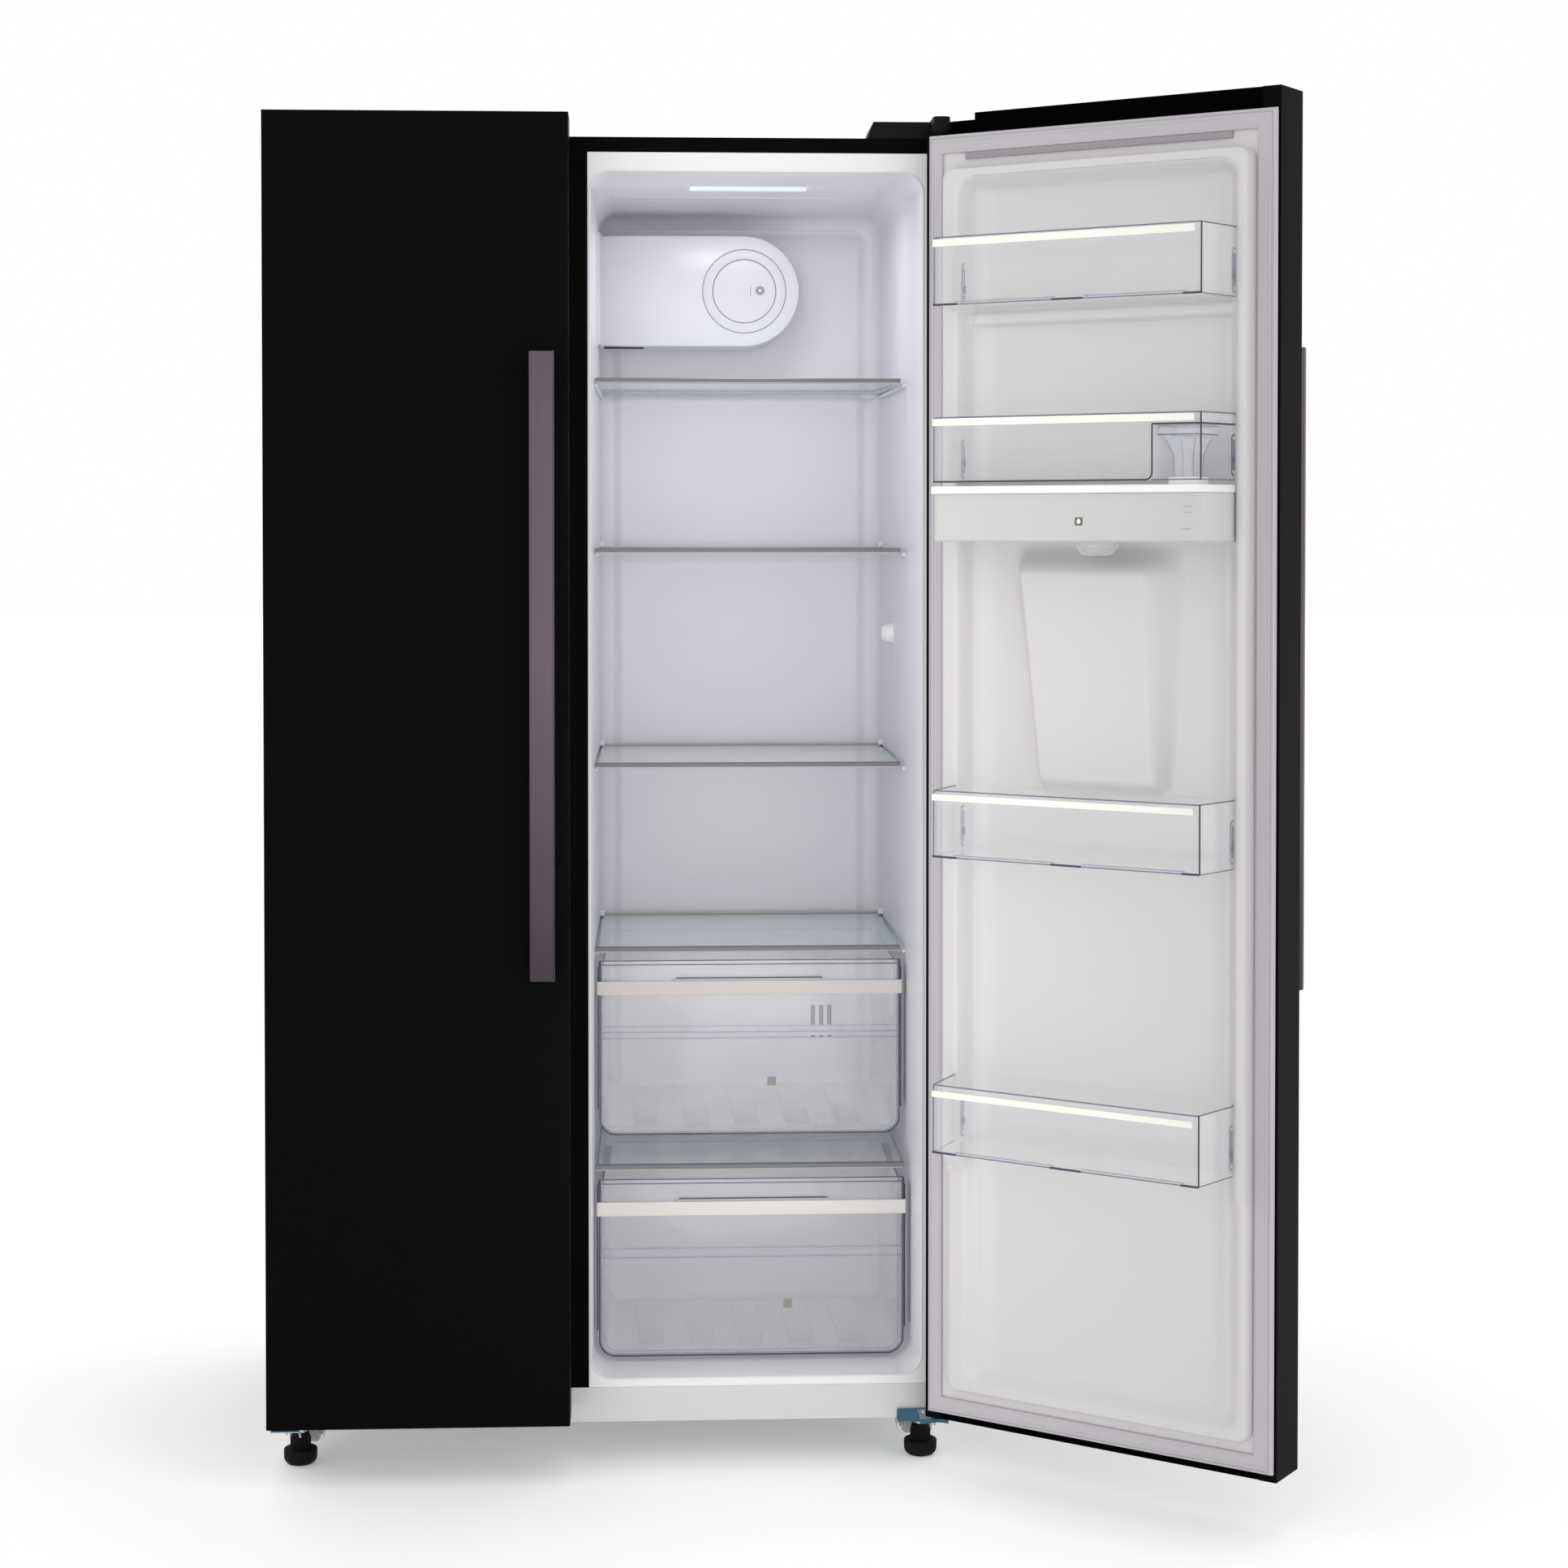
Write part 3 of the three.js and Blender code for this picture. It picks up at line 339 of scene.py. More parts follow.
def slab(axis, outline_of, a, b, edge=1.5, steps=3):
    """A plate whose rims are rounded over: outline_of(inset) gives the outline."""
    rings = []
    for i in range(steps + 1):
        t = i / steps * math.pi / 2
        rings.append(ring(axis, outline_of(edge * (1 - math.sin(t))), a + math.copysign(edge,
            b - a) * (1 - math.cos(t))))
    for i in range(steps + 1):
        t = (1 - i / steps) * math.pi / 2
        rings.append(ring(axis, outline_of(edge * (1 - math.sin(t))), b - math.copysign(edge,
            b - a) * (1 - math.cos(t))))
    return loft(rings)


def lathe(axis, centre, profile, steps=32):
    """profile is (radius, height) pairs; centre is the two coordinates across the axis."""
    rings = []
    for r, h in profile:
        turn = [(centre[0] + r * math.cos(2 * math.pi * i / steps),
            centre[1] + r * math.sin(2 * math.pi * i / steps))
                for i in range(steps)]
        rings.append(ring(axis, turn, h))
    return loft(rings)


def sweep(points, section, closed=False, up=(0, 0, 1)):
    """Carries a (side, up) section along a polyline, mitred at its corners."""
    pts = [Vector(p) for p in points]
    n = len(pts)
    rings = []
    up = Vector(up)
    for i, p in enumerate(pts):
        back = (p - pts[i - 1]).normalized() if (i or closed) else None
        ahead = (pts[(i + 1) % n] - p).normalized() if (i < n - 1 or closed) else None
        back = back or ahead
        ahead = ahead or back
        along = (back + ahead).normalized()
        side = along.cross(up).normalized()
        over = side.cross(along).normalized()
        widen = 1 / max(0.3, along.dot(ahead))
        rings.append([tuple(p + side * (s * widen) + over * t) for s, t in section])
    return loft(rings, loop=closed)


def circle(r, steps=8):
    return [(r * math.cos(2 * math.pi * i / steps),
        r * math.sin(2 * math.pi * i / steps)) for i in range(steps)]


def tube(points, r, steps=8, up=(0, 0, 1), closed=False):
    return sweep(points, circle(r, steps), closed, up)


def arc(centre, r, a0, a1, steps=6):
    return [(centre[0] + r * math.cos(math.radians(a0 + (a1 - a0) * i / steps)),
             centre[1] + r * math.sin(math.radians(a0 + (a1 - a0) * i / steps))) for i in range(steps + 1)]


def join(*shapes):
    """Several shapes as one mesh."""
    verts, faces = [], []
    for v, f in shapes:
        faces += [tuple(i + len(verts) for i in face) for face in f]
        verts += v
    return verts, faces


def piece(name, shape, look, body, at=CAB, bevel=0.0, segments=2, angle=35, replaces=(), slot=None,
    thick=None):
    """Makes a shape a finished piece of the refrigerator, riding on a CAD body."""
    verts, faces = shape
    mesh = bpy.data.meshes.new(name)
    mesh.from_pydata([at @ Vector(v) for v in verts], [], faces)
    bm = bmesh.new()
    bm.from_mesh(mesh)
    bmesh.ops.remove_doubles(bm, verts=bm.verts, dist=2e-6)
    bmesh.ops.dissolve_degenerate(bm, edges=bm.edges, dist=1e-7)
    bmesh.ops.recalc_face_normals(bm, faces=bm.faces)
    bm.to_mesh(mesh)
    bm.free()
    mesh.polygons.foreach_set("use_smooth", [True] * len(mesh.polygons))
    mesh.set_sharp_from_angle(angle=math.radians(angle))
    mesh.materials.append(MATS[look])
    o = bpy.data.objects.new(name, mesh)
    bpy.context.scene.collection.objects.link(o)
    if thick:
        m = o.modifiers.new("wall", "SOLIDIFY")
        m.thickness, m.offset = thick / 1000, -1
    if bevel:
        m = o.modifiers.new("rounding", "BEVEL")
        m.width, m.segments, m.limit_method, m.angle_limit = bevel / 1000, segments, "ANGLE", math.radians(30)
        m.harden_normals = True
    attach(o, body)
    if replaces:
        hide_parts(*replaces)
    return o


# ------------------------------------------------------------------ vacuum-formed door liners
def smooth(a, b, t):
    """0 below a, 1 above b and an even curve between."""
    t = np.clip((t - a) / (b - a), 0, 1)
    return t * t * (3 - 2 * t)


def depth_in(u, z, u0, u1, z0, z1, r):
    """How far inside a rounded rectangle a point is; negative outside."""
    du = np.maximum(u0 + r - u, u - (u1 - r))
    dz = np.maximum(z0 + r - z, z - (z1 - r))
    return r - np.hypot(np.maximum(du, 0), np.maximum(dz, 0)) - np.minimum(np.maximum(du, dz), 0)


def formed_sheet(us, zs, height):
    uu, zz = np.meshgrid(us, zs)
    hh = height(uu, zz)
    verts = [(float(u), float(h), float(z)) for u, h, z in zip(uu.ravel(), hh.ravel(), zz.ravel())]
    n = len(us)
    faces = [(i * n + j, i * n + j + 1, (i + 1) * n + j + 1, (i + 1) * n + j)
             for i in range(len(zs) - 1) for j in range(n - 1)]
    return verts, faces


def grid(marks, fine=2.5, coarse=9.0, reach=24):
    """Positions from the first mark to the last, close together near the marks."""
    out = [marks[0]]
    while out[-1] < marks[-1]:
        near = min(abs(out[-1] - m) for m in marks)
        out.append(min(marks[-1], out[-1] + (fine if near < reach else coarse)))
    return np.array(out)


FLOOR_Y = 73.5


def rim_and_floor(u, z, width, left, right, bottom, top, crest):
    h = 72 + (crest - 72) * smooth(2, 9, depth_in(u, z, 38, width - 28, 125, 1746, 16))
    inner = depth_in(u, z, left, right, bottom, top, 28)
    h = h - (h - 80) * smooth(-2, 20, inner)
    gentle = smooth(14, 48, np.minimum(u - left, right - u)) * smooth(12, 34, inner)
    return h - (80 - FLOOR_Y) * gentle * (h < 81)


def right_crest(z):
    return 102 - 13 * (1 - smooth(420, 446, z))


def right_liner_height(u, z):
    low = 1 - smooth(420, 446, z)
    crest = right_crest(z)
    h = rim_and_floor(u, z, 505.6, 63 + 5 * low, 464.5, 139, 1733, crest)
    inside = smooth(8, 22, depth_in(u, z, 64, 464, 139, 1732, 28))
    h = h + 9 * inside * smooth(1534, 1541, z) * (1 - smooth(1549, 1556, z)) * (1 - smooth(86, 94, h))
    # the back of the dispenser niche
    t = np.clip((z - 935) / (1240 - 935), 0, 1)
    crest_left, crest_right = 191 - 34 * t, 345 - 20 * t
    base_left, base_right = crest_left - 14, 366 + 23 * t
    across = smooth(0, 1, (u - base_left) / (crest_left - base_left)) * (1 - smooth(0, 1,
        (u - crest_right) / (base_right - crest_right)))
    along = smooth(928, 950, z) * (1 - smooth(1210, 1250, z))
    return np.maximum(h, FLOOR_Y + 27.5 * across * along)


def left_liner_height(u, z):
    return rim_and_floor(u, z, 401, 62, 358, 139, 1733, 102 + 0 * z)


def dense_rim(width, inset):
    """The rim outline with many points on its straight sides."""
    r = max(3.0, 16 - inset)
    left, right, low, high = 40 + inset, width - 30.5 - inset, 127 + inset, 1744 - inset
    out = []
    for cx, cz, start in ((left + r, low + r, 180), (right - r, low + r, 270), (right - r, high - r, 0),
        (left + r, high - r, 90)):
        out += [(cx + a, cz + b) for a, b in arc((0, 0), r, start, start + 90, 8)]
    sides = []
    for k in range(4):
        sides += out[9 * k:9 * k + 9]
        (x0, z0), (x1, z1) = out[9 * k + 8], out[(9 * k + 9) % 36]
        sides += [(x0 + (x1 - x0) * i / 120, z0 + (z1 - z0) * i / 120) for i in range(1, 120)]
    return sides


def rim_skirt(width, crest):
    """The rim's outer wall and rounded shoulder, as one smooth band."""
    steps = ((-1.0, 72.3), (-0.4, 74), (0.6, 82), (1.6, -5), (2.6, -2), (4.0, -0.4), (6.0, 0.25),
        (9.0, 0.35), (12, 0.2), (13, -0.8))
    rings = [[(x, y if y > 20 else float(crest(z)) + y, z) for x, z in dense_rim(width, inset)] for inset,
        y in steps]
    return loft(rings, cap=False)


piece("right_liner_rim", rim_skirt(505.6, right_crest), "door_liner_plastic", "right_door", RIGHT,
    angle=60, thick=-0.6)
piece("left_liner_rim", rim_skirt(401, lambda z: 102.0), "door_liner_plastic", "left_door", LEFT,
    angle=60, thick=-0.6)
piece("right_liner_sheet", formed_sheet(
    grid([10, 38, 50, 66, 90, 112, 177, 191, 330, 366, 389, 410, 446, 464, 477, 499]),
    grid([93, 125, 139, 165, 420, 446, 928, 950, 1210, 1250, 1534, 1556, 1718, 1746, 1789]),
        right_liner_height),
    "door_liner_plastic", "right_door", RIGHT, angle=60, replaces=["right_door_liner"],
        slot="door_liner_plastic", thick=-1.4)
piece("left_liner_sheet", formed_sheet(
    grid([10, 38, 62, 90, 110, 310, 335, 358, 373, 395]), grid([93, 125, 139, 165, 1718, 1746, 1789]),
        left_liner_height),
    "door_liner_plastic", "left_door", LEFT, angle=60, replaces=["left_door_liner"],
        slot="door_liner_plastic", thick=-1.4)


# ------------------------------------------------------------------ door gaskets, handles, edges
def gasket(width):
    """A ring of ridged vinyl: a flat lip, a bellows fold and the magnet pocket."""
    section = [(0, 72.2), (0, 75.5), (0.8, 78.5), (2.0, 79.6), (3.4, 79.6), (4.2, 78.4), (5.0, 78.4),
        (5.8, 79.6), (8.4, 79.6), (9.4, 78.8),
               (19.4, 78.4), (20.4, 79.0), (22.6, 79.0), (23.4, 78.0), (24, 72.2)]
    rings = []
    for inset, y in section:
        left, right = 8.6 + inset * 0.88, width - 2.6 - inset * 1.05
        top, low = 1791 - inset * 1.06, 91 + inset * 0.95
        rings.append(ring("y", [(left, low), (right, low), (right, top), (left, top)], y))
    return loft(rings, loop=True)


piece("right_gasket", gasket(505.6), "gasket_vinyl", "right_door", RIGHT, angle=25,
    replaces=["right_door_gasket"], slot="gasket_vinyl")
piece("left_gasket", gasket(401), "gasket_vinyl", "left_door", LEFT, angle=25,
    replaces=["left_door_gasket"], slot="gasket_vinyl")
# a strip of painted shade under the right gasket's top run
piece("gasket_top_strip", slab("y", lambda i: rounded(63 + i, 444 - i, 1757 + i, 1766 - i, 1.5), 72.2,
    78.2, 0.8),
      "gasket_dark", "right_door", RIGHT)


def handle_bar(width):
    x0, x1, z0, z1 = width - 51, width - 17.5, 680, 1502
    outline = [(x0, -48.5), (x0 + 0.9, -55.6), (x0 + 3, -57), (x1 - 3, -57), (x1 - 0.9, -55.6),
        (x1, -48.5), (x1 - 2, -44), (x0 + 2, -44)]
    rings = []
    for z, k in ((z0, 2.6), (z0 + 0.8, 1.1), (z0 + 3.2, 0), (z1 - 3.2, 0), (z1 - 0.8, 1.1), (z1, 2.6)):
        rings.append([(x, y + (k * 0.9 if y < -50 else 0), z) for x, y in outline])
    grip = loft(rings)
    feet = [prism("z", rounded(x0 + 3.5, x1 - 3.5, -47, -0.3, 2, 3), z, z + 40) for z in (682, 1460)]
    return join(grip, *feet)


for side, width, at in (("left", 401, LEFT), ("right", 505.6, RIGHT)):
    piece(f"{side}_handle_bar", handle_bar(width), "handle_bronze", f"{side}_door", at, bevel=0.5,
        segments=2,
          replaces=[f"{side}_door_handle"], slot="handle_bronze")
for name in ("left_door_skin", "right_door_skin", "outer_case", "plinth", "centre_mullion",
    "hinge_cover_left", "hinge_cover_right",
             "left_door_core", "right_door_core", "dispenser_housing", "bottom_hinge_left",
                 "bottom_hinge_right"):
    m = NODES[name].modifiers.new("rounding", "BEVEL")
    m.width = 0.0004 if "case" in name or "skin" in name else 0.0008
    m.segments = 2
    m.limit_method = "ANGLE"
    m.angle_limit = math.radians(35)


# ------------------------------------------------------------------ fridge compartment
LEFT_WALL, RIGHT_WALL, CEILING, FLOOR = 428, 876, 1751, 120


def wall_x(side, y):
    """Inner face of the compartment's side walls at a depth."""
    if side == "left":
        return np.interp(y, [80, 115, 430, 605], [428, 430, 432, 434])
    return np.interp(y, [80, 115, 430, 605], [876, 868, 863, 860])


def compartment_rings():
    mouth = [(79.6, -2.2), (80.0, -0.6), (81.4, 0)]
    rings = [ring("y", rounded(LEFT_WALL + g, RIGHT_WALL - g, FLOOR + g, CEILING - g, 28 - g, 8),
        y) for y, g in mouth]
    for y, l, r, b, t, q in ((115, 430, 868, 124, 1747, 28), (428, 432, 863, 128, 1746, 26)):
        rings.append(ring("y", rounded(l, r, b, t, q, 8), y))
    for y, low in ((428.4, HUMP - 6), (429.2, HUMP - 2.4), (431, HUMP - 0.6), (434, HUMP)):
        rings.append(ring("y", rounded(432, 863, low, 1746, 26, 8), y))
    rings.append(ring("y", rounded(433.6, 860.6, HUMP, 1745.2, 26, 8), 575))
    for k in range(1, 7):
        a = k / 6 * math.pi / 2
        g = 20 * (1 - math.cos(a))
        rings.append(ring("y", rounded(434 + g, 860 - g, HUMP + g, 1745 - g, 28, 8),
            575 + 27 * math.sin(a)))
    return rings


HUMP = 372
walls, wall_faces = loft(compartment_rings(), cap=False)
count = len(walls)
back = [tuple(range(count - 36, count))]
piece("fridge_liner_sheet", (walls, wall_faces + back), "liner_plastic", "cabinet", angle=50,
    replaces=["fridge_liner"],
      slot="liner_plastic", thick=-1.6)
rim_out = ring("y", rounded(424.6, 889.7, 108, 1776.7, 1.5, 8), 79.9)
rim_in = ring("y", rounded(426, 878, 118, 1753, 30, 8), 79.9)
rim_back = [ring("y", rounded(424.6, 889.7, 108, 1776.7, 1.5, 8), 82), ring("y", rounded(426, 878, 118,
    1753, 30, 8), 82)]
piece("fridge_liner_rim", loft([rim_out, rim_in, rim_back[1], rim_back[0]], loop=True), "liner_rim",
    "cabinet", angle=30)
# the back wall's middle stands a little proud, with soft sides
def back_panel_height(x, z):
    return 602.4 - 4.6 * smooth(0, 15, depth_in(x, z, 452, 838, 385, 1722, 14))


panel, panel_faces = formed_sheet(grid([446, 452, 467, 823, 838, 844], 1.6, 14, 10),
    grid([378, 400, 1707, 1722, 1728], 2, 20, 10), back_panel_height)
piece("back_wall_panel", (panel, panel_faces), "liner_plastic", "cabinet", angle=50, thick=1.0)


def shelf_parts(n, z, front, back, x0=435.2, x1=858.2):
    piece(f"glass_plate_{n}", box(x0, x1, front, back, z, z + 4), "shelf_glass", "cabinet", bevel=0.6,
          replaces=[f"fridge_shelf_{n}" if n < 5 else "crisper_shelf"], slot="shelf_glass")
    edges = [box(x, x + 1.3, front + 2, back - 2, z + 0.2, z + 4.2) for x in (x0 - 0.3, x1 - 1.0)]
    piece(f"glass_edges_{n}", join(*edges, box(x0, x1, back - 0.6, back + 0.1, z + 0.2, z + 3.8)),
        "glass_edge", "cabinet", bevel=0.15, segments=1)
    nose = [(front - 4.5, z + 0.8), (front - 4.5, z + 4.9), (front - 3, z + 6.2), (front + 5, z + 6.2),
        (front + 5, z + 4.2), (front - 0.4, z + 4.2), (front - 0.4, z + 0.8)]
    piece(f"shelf_nose_{n}", prism("x", nose, x0 - 3.4, x1 + 0.4), "shelf_trim", "cabinet", bevel=0.5)
    under = [(front - 4.4, z - 1.4), (front - 4.8, z + 0.7), (front - 0.6, z + 0.7),
        (front - 0.6, z - 0.4), (front + 4, z - 0.4), (front + 4, z - 1.4)]
    piece(f"shelf_lower_trim_{n}", prism("x", under, x0 - 3.2, x1 + 0.2), "shelf_trim_light", "cabinet",
        bevel=0.4)
    heel = [(back - 5, z + 4.1), (back - 4, z + 6.4), (back + 1, z + 6.4), (back + 1, z + 4.1)]
    piece(f"shelf_heel_{n}", prism("x", heel, x0 + 2, x1 - 2), "shelf_trim_light", "cabinet", bevel=0.4)
    for side in ("left", "right"):
        w = [(wall_x(side, y), y) for y in (front + 4, 300, 430, 590)]
        sign = 1 if side == "left" else -1
        outline = [(x - sign * 0.5, y) for x, y in w if y <= back + 8] + [(x + sign * 4.4, y) for x,
            y in reversed(w) if y <= back + 8]
        if n < 5:
            piece(f"shelf_ledge_{side}_{n}", prism("z", outline, z - 6, z - 0.6), "liner_plastic",
                "cabinet", bevel=2, segments=3)
            hold = wall_x(side, back - 30)
            stop = slab("x", lambda i: rounded(back - 40 + i, back - 14 - i, z + 5.5 + i, z + 14 - i, 2),
                hold - sign * 1, hold + sign * 6, 1.2)
            piece(f"shelf_stop_{side}_{n}", stop, "liner_plastic", "cabinet", angle=50)


for n, z in enumerate((1475, 1238, 938, 680), 1):
    shelf_parts(n, z, 219, 587)
shelf_parts(5, 388, 155, 425)
for side, x in (("left", 441), ("right", 838)):
    bar = [(x, 190), (x + 10, 190), (x + 12, 310), (x + 2, 310)]
    piece(f"crisper_shelf_bar_{side}", prism("z", bar, 385.4, 387.7), "dark_slot", "cabinet", bevel=0.5)
# clear rail under the top glass shelf
rail = [(441, 300, 1467.5), (826, 300, 1467.5), (842, 262, 1470.5), (846, 236, 1471.6)]
piece("top_shelf_rail", sweep(rail, [(-1.2, -1.6), (1.2, -1.6), (1.2, 1.6), (-1.2, 1.6)]), "crisper_line",
    "cabinet", bevel=0.5)


# air duct cover
DIAL_AT = (649.5, 1625.5)


def duct_front(x):
    """The cover's left part dips towards the wall."""
    return 500 + 12 * max(0.0, (528 - x) / 92) ** 2


DUCT_LEFT = 433.2


def duct_outline(inset=0):
    cx, cz, r = 649, 1625.5, 83.5 - inset
    curve = [(cx + r * math.sin(a), cz - r * math.cos(a)) for a in (i / 28 * math.pi for i in range(29))]
    low = [(DUCT_LEFT + inset + k * (cx - DUCT_LEFT - inset) / 14, cz - r) for k in range(14)]
    return low + curve + [(x, cz + r) for x, _ in reversed(low)]


duct_rings = []
for inset, y in ((0, 600), (0, 505), (0.6, 502.2), (2, 500.5), (4, 500)):
    duct_rings.append([(x, y + duct_front(x) - 500 if y < 520 else y, z) for x, z in duct_outline(inset)])
half = len(duct_rings[0])
verts, faces = loft(duct_rings, cap=False)
last = len(verts) - half
face_top = [(last + i, last + i + 1, last + half - 2 - i, last + half - 1 - i) for i in range(13)]
face_end = [tuple(range(last + 13, last + half - 13))]
faces += face_top + face_end + [tuple(range(half))]
piece("duct_cover", (verts, faces), "duct_plastic", "cabinet", angle=30, replaces=["air_duct_cover"],
    slot="liner_plastic")
dial = [(0, 499.3), (44.5, 499.3), (46.3, 499.5), (46.6, 500.6), (47.6, 500.6), (47.9, 499.2),
    (49.5, 499.0), (60.6, 499.0), (61.6, 499.3), (61.9, 500.6),
        (62.6, 500.6)]
piece("duct_dial", lathe("y", DIAL_AT, dial + [(62.6, 501.5), (0, 501.5)], 72), "duct_dial", "cabinet",
    angle=28)
# a dark plate under the cover: painted shadow in the slit beneath it
piece("duct_shadow_gap", slab("z", lambda i: rounded(440 + i, 500 - i, 506 + i, 524 - i, 2), 1541.4,
    1540.6, 0.3), "dark_slot", "cabinet")
# two dark rings laid in the dial's grooves: painted shade
rings = [tube([(DIAL_AT[0] + r * math.cos(a), 499.6,
    DIAL_AT[1] + r * math.sin(a)) for a in (i / 72 * 2 * math.pi for i in range(72))],
              0.55, 6, up=(0, 1, 0), closed=True) for r in (47.1, 62.2)]
piece("duct_dial_rings", join(*rings), "gasket_dark", "cabinet", angle=60)
# its left end turns forward along the side wall
wrap = [(431.0, 452), (434.6, 456), (436.4, 470), (437.8, 514), (431.0, 520)]
piece("duct_wall_flange", prism("z", wrap, 1542.4, 1708.6), "duct_plastic", "cabinet", bevel=1.2,
    angle=40)
mark = [prism("y", [(658.6, 1619), (659.2, 1619), (659.2, 1634), (658.6, 1634)], 499.4, 499.05)]
for turn in (0.5, 2.6, 4.7):
    loop_out = [(673 + 7.2 * math.cos(a) * math.cos(turn) - 3.4 * math.sin(a) * math.sin(turn), 499.1,
        1626.6 + 7.2 * math.cos(a) * math.sin(turn) + 3.4 * math.sin(a) * math.cos(turn))
                for a in (i / 28 * 2 * math.pi for i in range(28))]
    mark.append(tube(loop_out, 0.4, 6, up=(0, 1, 0), closed=True))
piece("duct_dial_mark", join(*mark), "pictogram_dark", "cabinet", angle=60)
# ceiling lamp
piece("ceiling_lamp", slab("z", lambda i: rounded(564 + i, 728 - i, 210 + i, 256 - i, 6), 1747.6, 1745.6,
    0.9, 3), "lamp", "cabinet", angle=50)
piece("ceiling_lamp_bezel", slab("z", lambda i: rounded(556 + i, 736 - i, 203 + i, 264 - i, 9), 1747.8,
    1746.2, 0.8, 3), "white_plastic", "cabinet", angle=50)
lip = rounded(441, 829, 222, 340, 12, 5)
piece("ceiling_recess_lip", sweep([(x, y, 1746.4) for x, y in lip], [(-1.2, -0.7), (1.2, -0.7),
    (0.6, 0.9), (-0.6, 0.9)], closed=True), "liner_plastic", "cabinet", angle=60)
# door switch cap on the right wall, vents in the lower back wall; the vent openings are dark slabs, painted
# shade
piece("wall_cap", lathe("x", (400, 1118), [(0, 846), (8, 846.2), (10.6, 847.6), (11.4, 851),
    (12.8, 851.6), (14.2, 853.4), (14.8, 858), (15, 864.6), (0, 864.6)], 36),
      "white_plastic", "cabinet", angle=40)
vents = [slab("y", lambda i, x=x: rounded(x + i, x + 6.6 - i, 510 + i, 540.4 - i, 0.8, 2), 596.9, 596.2,
    0.3, 1) for x in (754.6, 767.3, 779.9)]
vents += [slab("y", lambda i, x=x: rounded(x + i, x + 6.6 - i, 491.6 + i, 494 - i, 0.5, 2), 596.9, 596.2,
    0.3, 1) for x in (754.6, 767.3, 779.9)]
piece("back_vents", join(*vents), "dark_slot", "cabinet")


# ------------------------------------------------------------------ crispers
def u_outline(x0, x1, z0, z1, r, t):
    """A U-shaped wall section: outside down and round, then the inside back."""
    outer = [(x0, z1)] + [(x0 + r + a, z0 + r + b) for a, b in arc((0, 0), r, 180, 270)] + [(x1 - r + a,
        z0 + r + b) for a, b in arc((0, 0), r, 270, 360)] + [(x1, z1)]
    q = r - t
    inner = [(x1 - t, z1)] + [(x1 - r + a, z0 + r + b) for a, b in reversed(arc((0, 0), q, 270, 360))] + \
        [(x0 + r + a, z0 + r + b) for a, b in reversed(arc((0, 0), q, 180, 270))] + [(x0 + t, z1)]
    return outer + inner


def u_path(x0, x1, z0, z1, r, y):
    out = [(x0, y, z1)] + [(x0 + r + a, y, z0 + r + b) for a, b in arc((0, 0), r, 180, 270, 8)]
    return out + [(x1 - r + a, y, z0 + r + b) for a, b in arc((0, 0), r, 270, 360, 8)] + [(x1, y, z1)]


